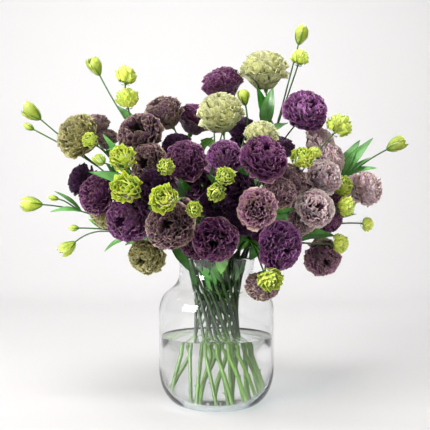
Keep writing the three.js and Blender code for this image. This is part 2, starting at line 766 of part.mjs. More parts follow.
add("vase", glass, "glass");
const holes = sprays.map(({ stem: { points } }) => {
  const past = points[0].clone().lerp(points[1], -0.3);
  return rod([past, points[10]], [stemRadius + gap, stemRadius + gap], 5);
});
add("water", turned(waterOutline()).subtract(wasm.Manifold.union(holes)), "water");
for (const spray of sprays) add(`${spray.name}_stem`, largest(spray.green.simplify(0.1)), "green");
for (const { members, made } of bodies) {
  const [{ spray, tone }] = members;
  const ofSpray = bodies.filter((body) => body.members[0].spray === spray);
  const rank = ofSpray.findIndex((body) => body.made === made) + 1;
  add(`${spray.name}_bloom_${rank}`, made, tone);
}

export default bouquet;
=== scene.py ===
# A loose bunch of double lisianthus with green buds and leaves, standing in a clear glass vase of water.
# Shapes are worked out in millimetres and put into the meshes in metres.
# +Z is up and the viewer is on the -Y side.
import math

import bpy
import numpy as np
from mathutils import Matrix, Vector


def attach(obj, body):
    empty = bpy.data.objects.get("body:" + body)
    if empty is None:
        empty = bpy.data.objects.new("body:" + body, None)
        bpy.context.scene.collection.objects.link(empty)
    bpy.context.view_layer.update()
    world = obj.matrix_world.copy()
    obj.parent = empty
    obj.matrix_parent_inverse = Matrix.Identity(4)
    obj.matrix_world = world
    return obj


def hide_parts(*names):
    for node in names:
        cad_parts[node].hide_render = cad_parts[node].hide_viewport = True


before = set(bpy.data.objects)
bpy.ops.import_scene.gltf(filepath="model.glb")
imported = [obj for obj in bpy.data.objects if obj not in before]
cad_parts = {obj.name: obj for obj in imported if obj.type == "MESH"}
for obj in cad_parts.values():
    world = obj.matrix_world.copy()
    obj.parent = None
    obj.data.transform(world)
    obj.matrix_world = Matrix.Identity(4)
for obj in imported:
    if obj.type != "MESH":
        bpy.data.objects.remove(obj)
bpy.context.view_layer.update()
print("frame loaded:", len(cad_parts), "nodes")

millimetre = 0.001
up = np.array([0.0, 0.0, 1.0])
seed = 20  # every random draw starts from this

# The photograph's view: level, in front of the vase. Pixels are in its 430 by 430 frame.
photoSize = 430
view = {"distance": 1100, "height": 286, "millimetresPerPixel": 1.75, "axisPixel": 216.5, "horizonPixel": 239}

# The same bunch as in the solids: its heads, how they settle, and the spiral of its stems
heart = np.array([0.0, 20.0, 290.0])
spiral = {
    "waistHeight": 160,
    "mouthHeight": 262,
    "outer": {"waist": 36, "foot": 68},
    "inner": {"waist": 15, "foot": 38},
    "mouthTurn": 50,
    "strandPoints": 11,  # of the straight part, from the foot to the mouth
    "forkClear": 22,
    "upright": 0.25,
}
settling = {
    "rounds": 400,
    "step": 0.3,
    "clear": 1.2,
    "mobility": np.array([0.45, 1.0, 0.45]),  # heads give way mostly in depth
    "partnerShare": 0.8,  # how near partners lie, of the distance at which they touch
}
halfDepth = {"bloom": 0.41, "ball": 0.44, "bud": 0.66}
stemRadius = 2.8
stalk = {"radius": 1.35, "apart": 0.055, "sunk": 0.25, "shortFrom": 0.55, "step": 8, "sides": 8}
calyxLength = 9
gap = 0.3
spare = {"head": 1.2, "line": 1.6}
bending = {"count": 24, "pull": 0.36, "pushes": (8, 16, 26, 38, 52, 68)}
leafBlade = {
    "thickness": 0.6,
    "fold": 0.16,
    "droop": 0.12,
    "rear": 60,  # further back than this, leaves turn to the sky
    "grid": (19, 9),
    "smallGrid": (11, 5),
    "ripple": 0.035,  # of its edge, as a share of the width
    "ripples": (3, 6),
    "twist": 0.18,
    "rib": 0.35,
    "paleFrom": 0.82,  # the share of leaves that aren't pale
}
vase = {
    "radius": 100,
    "height": 254,
    "baseRadius": 58,
    "heelHeight": 64,
    "sideTop": 160,
    "neckRadius": 65,
    "neckHeight": 226,
    "mouthRadius": 67.5,
    "lipHeight": 252,
    "wall": 3.5,
    "floor": 7,
    "sides": 128,
    # how far the curves keep their direction at their ends
    "heelPull": 25,
    "heelBelly": 0.45,
    "shoulderPull": 44,
    "neckPull": 32,
    "neckOut": 3,
    "flarePull": 12,
    "flareOut": 0.6,
    "lipPull": 4,
    "puntEdge": (12, 7, 5, 2),  # of the hollow under the base, inside its edge
    "punt": 2.2,
}
water = {"level": 119, "meniscus": 1.7, "clear": 0.08}


# A head is [pixel across, pixel down, millimetres behind the vase's axis], its width in millimetres and its
# facing, which is outwards from the heart of the bunch where none is given.
# light, where given, scales a head's colours: partly its own tone, partly painted light and shade that evens
# out how lit it looks
def bloom(tone, at, wide, face=None, **more):
    return {"kind": "bloom", "tone": tone, "at": at, "wide": wide, "face": face, **more}


def ball(at, wide, face=None, **more):
    return {"kind": "ball", "tone": "green", "at": at, "wide": wide, "face": face, **more}


def bud(at, wide, face=None, **more):
    return {"kind": "bud", "tone": "green", "at": at, "wide": wide, "face": face, "light": 0.64, **more}


# A spray is one cut stem. turn is its azimuth at the vase's mouth, from +X towards +Y, in degrees.
# A leaf is [what it grows on, how far along, where its tip is, its width]. It grows on the stem, or on the
# stalk of the head with that number.
def cutStem(name, ring, turn, heads, leaves):
    return {"name": name, "ring": ring, "turn": turn, "heads": heads, "leaves": leaves}


joined = {"joined": True}  # pressed into the bloom before it in the list
core = {"core": True}  # well inside the bunch

sprays = [
    cutStem("top_left", "inner", 182, [
        bloom("mauve", [163, 115, -30], 68, [-0.5, -0.6, 0.65], open=0.7, light=0.85),
        ball([126, 76, -10], 38, [0.1, -0.1, 1]),
        ball([127, 99, -30], 42, [-0.1, -0.4, 1]),
        bud([95, 66, 0], 27, [-0.45, -0.1, 0.9]),
    ], [[1, 0.5, [118, 106, -5], 15], [2, 0.45, [146, 108, 0], 20], [0, 0.3, [104, 150, -60], 24]]),
    cutStem("top_back", "inner", 105, [
        bloom("plum", [225, 84, -10], 72, [-0.1, -0.3, 0.95]),
        bloom("plum", [194, 119, 10], 68, [0.3, -0.15, 0.95]),
        bloom("dark", [177, 146, -40], 52, [-0.35, -0.1, 0.9]),
        bloom("plum", [212, 117, 85], 64, [-0.1, 0.6, 0.8]),
    ], [[1, 0.5, [214, 136, -20], 20], [0, 0.5, [200, 140, 30], 18]]),
    cutStem("top_front", "inner", 240, [
        bloom("cream", [222, 112, -80], 76, [-0.15, -0.5, 0.85]),
        bud([242, 98, -70], 21, [-0.25, -0.1, 1]),
        bloom("dark", [243, 150, -10], 54, [0.3, -0.6, 0.7], **core),
        bloom("dark", [241, 128, 20], 56, [0.1, -0.1, 1], **joined),
    ], [[0, 0.15, [203, 188, -110], 26]]),
    cutStem("top_right", "inner", 305, [
        bloom("cream", [263, 71, -30], 80, [-0.1, -0.5, 0.85]),
        bloom("cream", [261, 136, -110], 56, [0.15, -0.5, 0.85]),
    ], [[0, 0.62, [273, 87, -35], 25], [0, 0.66, [257, 87, -50], 15], [0, 0.5, [288, 123, -20], 17]]),
    cutStem("crown_right", "inner", 8, [
        bloom("purple", [308, 113, -40], 76, [0.35, -0.8, 0.4], open=0.5, light=1.25),
        bloom("dark", [281, 148, -20], 48, [0.5, -0.1, 0.8]),
        bud([301, 35, 10], 26, [0.25, -0.1, 0.95]),
        ball([300, 58, -10], 33, [0.25, -0.1, 0.95]),
    ], [[2, 0.3, [270, 118, 5], 18]]),
    cutStem("right", "outer", 0, [
        bloom("lilac", [366, 187, -20], 62, [0.8, -0.55, 0.2], light=1.1),
        bloom("lilac", [351, 190, 30], 52, [0.85, 0.35, 0.1], **joined),
        bud([396, 145, 0], 27, [0.9, -0.1, 0.45]),
        ball([341, 185, -65], 36, [0.3, -0.85, 0.3]),
    ], [
        [2, 0.4, [360, 140, 0], 24], [2, 0.45, [373, 138, -5], 20], [2, 0.5, [371, 157, -10], 13],
        [2, 0.62, [377, 168, -10], 12],
    ]),
    cutStem("back_right", "outer", 42, [
        bloom("plum", [248, 171, 142], 60),
        bloom("plum", [275, 181, 138], 62, **joined),
        bloom("plum", [298, 193, 108], 58, **joined),
        bloom("plum", [291, 218, 130], 60, **joined),
        bloom("plum", [265, 212, 165], 62, **joined),
        bloom("plum", [242, 200, 182], 60, **joined),
        ball([268, 184, 195], 34),
        bud([324, 168, 130], 26, [0.7, 0.6, 0.4]),
    ], [[0, 0.5, [290, 155, 150], 20], [7, 0.5, [330, 185, 150], 18], ["stem", 0.9, [300, 240, 175], 22]]),
    cutStem("back", "outer", 85, [
        bloom("purple", [209, 175, 148], 60),
        bloom("purple", [184, 179, 145], 60, **joined),
        bloom("purple", [191, 205, 178], 62, **joined),
        bloom("purple", [217, 213, 190], 62, **joined),
        bloom("purple", [228, 238, 170], 58, **joined),
        ball([215, 188, 222], 34),
    ], [[0, 0.5, [228, 172, 210], 22], ["stem", 0.9, [195, 245, 200], 22]]),
    cutStem("back_left", "outer", 128, [
        bloom("mauve", [152, 175, 120], 60),
        bloom("mauve", [124, 184, 85], 58, **joined),
        bloom("mauve", [133, 211, 115], 60, **joined),
        bloom("mauve", [161, 209, 152], 60, **joined),
        bloom("mauve", [169, 237, 150], 56, **joined),
        ball([140, 190, 165], 32),
        bud([100, 160, 140], 26, [-0.6, 0.7, 0.45]),
    ], [[6, 0.5, [115, 170, 160], 18], ["stem", 0.9, [140, 250, 150], 22]]),
    cutStem("left_high", "outer", 163, [
        bloom("olive", [79, 136, -20], 78, [-0.6, -0.68, 0.3]),
        bloom("mauve", [109, 143, 25], 44, [-0.1, -0.3, 0.9]),
        bloom("mauve", [93, 122, 30], 48, [-0.4, 0.1, 0.9], **joined),
        bloom("mauve", [141, 137, -70], 74, [-0.3, -0.88, 0.35], open=1.0),
        bloom("mauve", [148, 163, -95], 60, [-0.35, -0.93, -0.1], **joined),
        bud([32, 112, 0], 29, [-0.75, -0.1, 0.65]),
        bud([29, 127, 0], 14, [-0.85, -0.1, 0.45], on=5, start=0.55),
        ball([90, 140, -80], 27, [-0.3, -0.9, 0.2]),
        ball([122, 158, -120], 44, [-0.2, -0.95, 0.25], light=1.2),
    ], [[7, 0.5, [103, 134, -40], 17], [8, 0.4, [88, 172, -70], 26]]),
    cutStem("left", "outer", 185, [
        bloom("plum", [97, 194, -50], 68, [-0.55, -0.8, 0.15]),
        bloom("olive", [105, 214, -10], 56, [-0.7, -0.4, -0.5], **joined),
        bloom("dark", [83, 180, 20], 60, [-0.85, -0.25, 0.4]),
        bud([31, 204, 0], 30, [-1, -0.1, 0.05]),
        bud([54, 198, 5], 12, [-0.95, -0.1, 0.2], on=3, start=0.68),
        bud([74, 228, 0], 13, [-1, -0.1, 0]),
    ], [
        [3, 0.68, [54, 191, 0], 8], [3, 0.68, [50, 212, -5], 10], [2, 0.3, [106, 163, -70], 22],
        [5, 0.7, [88, 219, 0], 8],
    ]),
    cutStem("left_low", "outer", 207, [
        bloom("purple", [131, 220, -110], 74, [-0.5, -0.84, -0.15], light=0.72),
        bloom("olive", [146, 254, -90], 60, [-0.45, -0.78, -0.45], open=0.6),
        ball([130, 189, -145], 50, [-0.2, -0.95, 0.1], light=1.25),
        bud([68, 248, 0], 25, [-0.75, -0.1, -0.65]),
    ], [[3, 0.35, [104, 252, -20], 11], [1, 0.5, [125, 245, -20], 14]]),
    cutStem("front_left_high", "outer", 227, [
        bloom("plum", [198, 186, -98], 54, [-0.1, -0.8, -0.3], **core),
        bloom("plum", [190, 160, -135], 66, [-0.1, -0.85, 0.45], **joined),
        bloom("dark", [152, 182, -120], 56, [-0.4, -0.88, 0.2]),
        ball([166, 167, -160], 27, [0.35, -0.9, 0.1]),
    ], [["stem", 0.93, [180, 178, -150], 24]]),
    cutStem("front_left_low", "outer", 246, [
        bloom("mauve", [186, 210, -112], 44, [0, -1, 0], **core),
        bloom("mauve", [178, 230, -160], 72, [-0.2, -0.96, 0], **joined),
        ball([165, 203, -185], 44, [-0.1, -0.97, 0.1], light=1.2),
    ], [[2, 0.4, [182, 198, -150], 18], ["stem", 0.235, [197, 266, -34], 16]]),
    cutStem("front_low", "outer", 264, [
        bloom("plum", [217, 238, -170], 68, [0.05, -0.95, -0.2]),
        bloom("plum", [186, 240, -112], 54, [-0.1, -0.75, -0.6], **joined),
        bloom("dark", [208, 208, -140], 50, [-0.05, -1, 0.1]),
        bloom("dark", [246, 180, -112], 58, [0.1, -0.9, 0.3], **joined),
        bloom("dark", [243, 228, -140], 50, [0.1, -0.95, -0.1], **joined),
        ball([194, 209, -185], 25, [0.1, -1, 0.1]),
    ], [[5, 0.5, [203, 217, -165], 12], ["stem", 0.235, [209, 262, -44], 16]]),
    cutStem("front_high", "outer", 281, [
        bloom("plum", [259, 163, -150], 70, [0.1, -0.8, 0.55], light=1.25),
        bloom("purple", [224, 158, -140], 54, [0, -0.9, 0.4]),
        ball([224, 179, -185], 29, [0.1, -0.95, 0.2]),
        ball([218, 190, -180], 29, [-0.1, -0.95, -0.2]),
    ], [[1, 0.3, [206, 174, -125], 20]]),
    cutStem("front_right", "outer", 297, [
        bloom("mauve", [257, 209, -190], 58, [0.08, -1, 0.05], open=0.0, light=2.3),
        bloom("mauve", [277, 190, -150], 50, [0.4, -0.8, 0.3], open=0.1, light=1.4),
        bloom("mauve", [296, 176, -110], 56, [0.5, -0.55, 0.6], **joined),
    ], [[1, 0.25, [297, 210, -120], 20], ["stem", 0.235, [236, 262, -32], 15]]),
    cutStem("right_low", "outer", 313, [
        bloom("purple", [262, 229, -92], 46, [0.3, -0.7, 0.2]),
        bloom("purple", [282, 248, -130], 72, [0.4, -0.88, -0.2], **joined),
        bloom("mauve", [261, 285, -110], 54, [-0.25, -0.5, -0.8], open=0.1),
        ball([270, 279, -150], 40, [0.3, -0.9, -0.35]),
    ], [["stem", 0.93, [262, 247, -60], 16], ["stem", 0.97, [333, 234, -60], 24]]),
    cutStem("right_far", "outer", 329, [
        bloom("lilac", [301, 221, -80], 50, [0.2, -0.8, -0.3]),
        bloom("lilac", [318, 205, -120], 58, [0.2, -0.95, 0.1], light=1.4, **joined),
        bloom("plum", [330, 217, -50], 52, [0.8, -0.4, -0.3]),
        bloom("plum", [334, 197, -25], 50, [0.8, -0.3, 0.4], **joined),
        bloom("mauve", [322, 256, -25], 64, [0.2, -0.9, -0.4], light=2.2),
        ball([345, 206, -75], 34, [0.8, -0.4, 0.25]),
        ball([367, 224, -10], 26, [0.95, -0.15, -0.1]),
        ball([339, 244, -55], 34, [0.95, -0.2, 0]),
    ], [[4, 0.4, [336, 236, -50], 22], [6, 0.4, [357, 214, -5], 14]]),
    cutStem("right_high", "outer", 345, [
        bloom("lilac", [331, 161, -30], 58, [0.72, -0.45, 0.5]),
        bloom("lilac", [318, 142, 15], 58, [0.7, -0.1, 0.5], **joined),
        bloom("lilac", [307, 190, -58], 52, [0.2, -0.8, 0], **core),
        bloom("lilac", [320, 179, -100], 62, [0.4, -0.88, 0.2], light=1.6, **joined),
        ball([337, 125, -50], 45, [0.5, -0.35, 0.8], light=0.75),
        ball([301, 162, -125], 37, [0.1, -0.85, 0.45]),
        ball([315, 153, -100], 22, [0.2, -0.5, 0.8]),
    ], [["stem", 0.9, [300, 232, -60], 20]]),
]


def unit(v):
    return v / np.linalg.norm(v, axis=-1, keepdims=True)


def mix(a, b, share):
    return a + (b - a) * share


def smooth(low, high, x):  # 0 below low, 1 above high, a soft step between
    t = np.clip((x - low) / (high - low), 0, 1)
    return t * t * (3 - 2 * t)


def nearest(share, points):  # the number of the point that lies at a share of the way
    return min(int(share * (len(points) - 1) + 0.5), len(points) - 1)


def lengths(points):  # how far along the line each of its points lies
    return np.concatenate([[0], np.cumsum(np.linalg.norm(np.diff(points, axis=0), axis=1))])


def around(radius, angle, z):
    return np.array([radius * math.cos(angle), radius * math.sin(angle), z])


def cubic(ends, t):  # a cubic curve's points for its four control points
    a, b, c, d = ends
    return a * (1 - t) ** 3 + 3 * b * t * (1 - t) ** 2 + 3 * c * t**2 * (1 - t) + d * t**3


# Places, facings and stalks

heads = []
lines = []


def seen(at):
    # x = (across - axis) * scale, z = height + (horizon - down) * scale, the scale growing with the depth
    across, down, depth = at
    scale = view["millimetresPerPixel"] * (view["distance"] + depth) / view["distance"]
    x = (across - view["axisPixel"]) * scale
    return np.array([x, depth, view["height"] + (view["horizonPixel"] - down) * scale])


def setHeads():
    for spray in sprays:
        for order, head in enumerate(spray["heads"]):
            head["index"] = len(heads)
            head["centre"] = seen(head["at"])
            facing = np.array(head["face"], float) if head["face"] else head["centre"] - heart
            head["facing"] = unit(facing)
            head["across"] = head["wide"] / 2
            head["deep"] = head["wide"] * halfDepth[head["kind"]]
            head["partner"] = spray["heads"][order - 1] if head.get("joined") else None
            heads.append(head)


def spheroids(some):
    return [np.array([head[key] for head in some]) for key in ("centre", "facing", "across", "deep")]


def settle():
    # Neighbours push each other apart until their spheroids are clear; partners stay pressed together.
    # A head reaches sqrt(across^2 (1 - c^2) + deep^2 c^2) along a direction whose cosine to its facing is c.
    centres, facings, across, deep = spheroids(heads)
    partners = np.array([[a["partner"] is b or b["partner"] is a for b in heads] for a in heads])
    apartFromSelf = ~np.eye(len(heads), dtype=bool)
    for _ in range(settling["rounds"]):
        apart = centres[:, None] - centres[None]
        distance = np.linalg.norm(apart, axis=2) + ~apartFromSelf
        apart = apart / distance[..., None]
        own = np.einsum("ijk,ik->ij", apart, facings) ** 2
        other = np.einsum("ijk,jk->ij", apart, facings) ** 2
        touching = np.sqrt(across[:, None] ** 2 * (1 - own) + deep[:, None] ** 2 * own)
        touching = touching + np.sqrt(across[None] ** 2 * (1 - other) + deep[None] ** 2 * other)
        wanted = np.where(partners, touching * settling["partnerShare"], touching + settling["clear"])
        pushed = (partners | (distance < wanted)) & apartFromSelf
        push = np.where(pushed, (wanted - distance) * settling["step"], 0)
        centres = centres + (apart * push[..., None]).sum(1) * settling["mobility"]
    for head, centre in zip(heads, centres):
        head["centre"] = centre


def glassHeight(distance):
    past = max(0, distance - vase["baseRadius"] + vase["wall"])
    heelRun = vase["radius"] - vase["baseRadius"]
    rise = 1 - math.sqrt(max(0, 1 - (past / heelRun) ** 2))
    return vase["floor"] + (vase["heelHeight"] - vase["floor"]) * rise


def bend(start, leaving, end, arriving, aside=0.0):
    pull = bending["pull"] * np.linalg.norm(end - start)
    ends = start, start + leaving * pull + aside, end - arriving * pull + aside, end
    return cubic(ends, np.linspace(0, 1, bending["count"] + 1)[:, None])


def pushes(direction):  # ways to push a line aside, growing outwards round its straight way
    side = unit(np.cross(direction, up))
    other = unit(np.cross(direction, side))
    yield np.zeros(3)
    for size in bending["pushes"]:
        for eighth in range(8):
            angle = eighth * math.pi / 4
            yield side * size * math.cos(angle) + other * size * math.sin(angle)


def room(points, radius=0, own=None, passed=()):
    # the least distance from the line to any other head's spheroid and to the lines that it passes
    centres, facings, across, deep = spheroids([head for head in heads if head is not own])
    offset = points[:, None] - centres
    along = np.einsum("ijk,jk->ij", offset, facings)
    square = (offset**2).sum(2) - along**2
    scaled = np.sqrt(np.maximum(square, 0) / across**2 + along**2 / deep**2)
    outside = np.linalg.norm(offset, axis=2) * (1 - 1 / np.maximum(scaled, 1e-6))
    least = outside.min() - radius - spare["head"]
    for line in passed:
        between = np.linalg.norm(points[:, None] - line["points"][None], axis=2).min()
        least = min(least, between - radius - line["radius"] - spare["line"])
    return least


def clearest(start, leaving, end, arriving, radius, spray, own=None):
    # of the bends between two places, the first that is clear, or else the clearest
    passed = [line for line in lines if line["spray"] is not spray]
    best, most = None, -math.inf
    for push in pushes(unit(end - start)):
        points = bend(start, leaving, end, arriving, push)
        found = room(points[2:], radius, own, passed)
        if found > most:
            best, most = points, found
        if most >= 0:
            break
    line = {"spray": spray, "radius": radius, "points": best}
    lines.append(line)
    return line


def lineTangent(points, i):
    return unit(points[min(i + 1, len(points) - 1)] - points[max(i - 1, 0)])


def runStems():
    # A straight strand from the foot through the waist to the mouth, then a bend towards the spray's heads
    for spray in sprays:
        ring = spiral[spray["ring"]]
        angle = math.radians(spray["turn"] + spiral["mouthTurn"])
        waist = around(ring["waist"], angle, spiral["waistHeight"])
        drop = spiral["waistHeight"] - glassHeight(ring["foot"] + stemRadius)
        lean = math.sqrt(ring["foot"] ** 2 - ring["waist"] ** 2) / drop
        rise = around(-lean, angle + math.pi / 2, 1)
        foot = waist + rise * (3 * stemRadius * lean + 2 * gap - drop)
        mouth = waist + rise * (spiral["mouthHeight"] - spiral["waistHeight"])
        middle = np.mean([head["centre"] - head["facing"] * head["deep"] for head in spray["heads"]], axis=0)
        fork = (mouth + middle) / 2
        fork[2] = max(fork[2], spiral["mouthHeight"] + spiral["forkClear"])
        arriving = unit(mix(unit(middle - fork), up, spiral["upright"]))
        stem = clearest(mouth, unit(rise), fork, arriving, stemRadius, spray)
        straight = foot + (mouth - foot) * np.linspace(0, 1, spiral["strandPoints"])[:, None]
        stem["points"] = np.concatenate([straight, stem["points"][1:]])
        spray["stem"] = stem


def stalkEnds(head, line, first):
    # where a stalk starts on the line that it leaves, and where it meets its head
    short = {"bloom": calyxLength + 2 * gap, "ball": -stalk["sunk"] * head["deep"], "bud": 0}[head["kind"]]
    start, end = line[first], head["centre"] - head["facing"] * (head["deep"] + short)
    return start, unit(lineTangent(line, first) + unit(end - start)), end, head["facing"]


def runStalks():
    for spray in sprays:
        for order, head in enumerate(spray["heads"]):
            if not head.get("joined"):
                line = (spray["heads"][head["on"]]["stalk"] if "on" in head else spray["stem"])["points"]
                first = nearest(head.get("start", 1 - stalk["apart"] * order), line)
                head["stalk"] = clearest(*stalkEnds(head, line, first), stalk["radius"], spray, head)
    # a joined bloom's own stalk is short and hidden in the bunch: it leaves its partner's stalk
    for head in heads:
        if head.get("joined"):
            line = head["partner"]["stalk"]["points"]
            head["stalk"] = {"points": bend(*stalkEnds(head, line, nearest(stalk["shortFrom"], line)))}


setHeads()
settle()
runStems()
runStalks()
print("heads settled and stems run:", len(heads), "heads,", len(lines), "lines")


# Colours, given as they look on a screen and used as linear light

def colour(text):
    values = np.array([int(text[i : i + 2], 16) for i in (0, 2, 4)]) / 255
    return np.where(values <= 0.04045, values / 12.92, ((values + 0.055) / 1.055) ** 2.4)


# the first: painted shade deep in the bloom, face: inner side, rim: along the edge, partly its own colour and
# partly
# a painted highlight on the crests, back: outer side, patch: blotches on both, guard: the broad petals round
# the bloom
toneParts = "throatShade", "face", "rim", "back", "patch", "guard"
tones = {
    "plum": "040104 7a3474 c8a0aa 744870 9c56a2 7e5068",
    "purple": "18081c 964a98 caa4b8 b08aac b464b8 986690",
    "dark": "050206 42204a 7c5a6c 482a50 663470 4c2e46",
    "mauve": "0a0408 8e6284 dcc6ac 94788c a68c76 aa927c",
    "lilac": "4c3440 e8c0cc f4e4d4 eccad6 d0a4c4 e6c8c0",
    "olive": "1c180c beba70 e2dcaa c0bc84 98846a aea070",
    "cream": "4e581c eceea0 f8f8d8 e8ecaa d4d29c e2e6a0",
    "green": "b6ce3c d6ec4c f0fa98 daee5a c0d83e d6ec4c",
}
tones = {name: dict(zip(toneParts, map(colour, row.split()))) for name, row in tones.items()}
greens = {
    # stem and stemShade, the stem above the water, are darkened as painted shade of the bunch; stemWet is
    # under the water
    "stem": "20400c",
    "stemShade": "0c1e08",
    "stemWet": "587e26",
    "stalk": "3c6e1c",
    "calyx": "76a43a",
    "sepal": "4c8028",
    "leaf": "3a9020",
    "leafDark": "1a561c",
    "leafLight": "6aae2a",
    "leafBack": "78b062",
}
greens = {name: colour(text) for name, text in greens.items()}


# Meshes

def quadGrid(rows, columns, wrap=False):
    # faces of a grid of points, turned so that their outside is along-rows crossed with along-columns
    i, j = np.meshgrid(np.arange(rows - 1), np.arange(columns if wrap else columns - 1), indexing="ij")
    after = (j + 1) % columns
    corners = i * columns + j, (i + 1) * columns + j, (i + 1) * columns + after, i * columns + after
    return np.stack(corners, -1).reshape(-1, 4)


def skin(rings, first, last):
    # the faces over rings of points, both ends closed by a fan round a point of its own
    count, sides = rings.shape[:2]
    total = count * sides
    ends = np.arange(sides)
    after = (ends + 1) % sides
    startFan = np.stack([np.full(sides, total), after, ends], 1)
    endFan = np.stack([np.full(sides, total + 1), total - sides + ends, total - sides + after], 1)
    points = np.concatenate([rings.reshape(-1, 3), [first, last]])
    return points, quadGrid(count, sides, wrap=True)[:, ::-1], np.concatenate([startFan, endFan])


def onBothSides(front, back):
    # a blade's points, or values at them: the whole grid of its front, and the back's without its edge
    count, _, _, width = front.shape
    inside = back[:, 1:-1, 1:-1].reshape(count, -1, width)
    return np.concatenate([front.reshape(count, -1, width), inside], axis=1).reshape(-1, width)


def closedSheets(sheets, thickness):
    # Each sheet (rows x columns of points) becomes a thin closed blade. Its points move half the thickness
    # along the normal and against it, and the two faces share their edge.
    count, rows, columns, _ = sheets.shape
    normal = np.cross(np.gradient(sheets, axis=1), np.gradient(sheets, axis=2))
    normal = normal / np.maximum(np.linalg.norm(normal, axis=3, keepdims=True), 1e-9)
    shift = normal * thickness / 2
    front = sheets.copy()
    front[:, 1:-1, 1:-1] += shift[:, 1:-1, 1:-1]
    points = onBothSides(front, sheets - shift)
    backIndex = np.arange(rows * columns).reshape(rows, columns)
    inside = rows - 2, columns - 2
    backIndex[1:-1, 1:-1] = rows * columns + np.arange(math.prod(inside)).reshape(inside)
    frontFaces = quadGrid(rows, columns)
    faces = np.concatenate([frontFaces, backIndex.reshape(-1)[frontFaces][:, ::-1]])
    each = len(points) // count
    return points, (faces[None] + (np.arange(count) * each)[:, None, None]).reshape(-1, 4)


def sheetMap(count, rows, columns, first, total):
    # a square of the piece's map for each side of each sheet, in a square field of squares
    field = math.ceil(math.sqrt(total))
    i, j = np.meshgrid(np.linspace(0.03, 0.97, rows), np.linspace(0.03, 0.97, columns), indexing="ij")
    corners = np.stack([j, i], -1).reshape(-1, 2)[quadGrid(rows, columns)]
    both = np.concatenate([corners, corners[:, ::-1]])
    squares = first + np.arange(count)[:, None] * 2 + np.repeat([0, 1], len(corners))[None]
    place = np.stack([squares % field, squares // field], -1)[:, :, None, :]
    return ((both[None] + place) / field).reshape(-1, 4, 2)


def carried(points):
    # a side vector for each point of a line, carried along it without twist
    directions = unit(np.gradient(points, axis=0))
    side = np.cross(directions[0], [0.0, 1.0, 0.0] if abs(directions[0][2]) > 0.9 else up)
    sides = []
    for direction in directions:
        side = unit(side - direction * np.dot(side, direction))
        sides.append(side)
    return directions, np.array(sides)


def fill(data, name, values, kind=np.float32):
    data.foreach_set(name, values.astype(kind).reshape(-1))


def addTints(mesh, tints):
    opaque = np.concatenate([tints, np.ones((len(tints), 1))], 1)
    fill(mesh.attributes.new("tint", "FLOAT_COLOR", "POINT").data, "color", opaque)


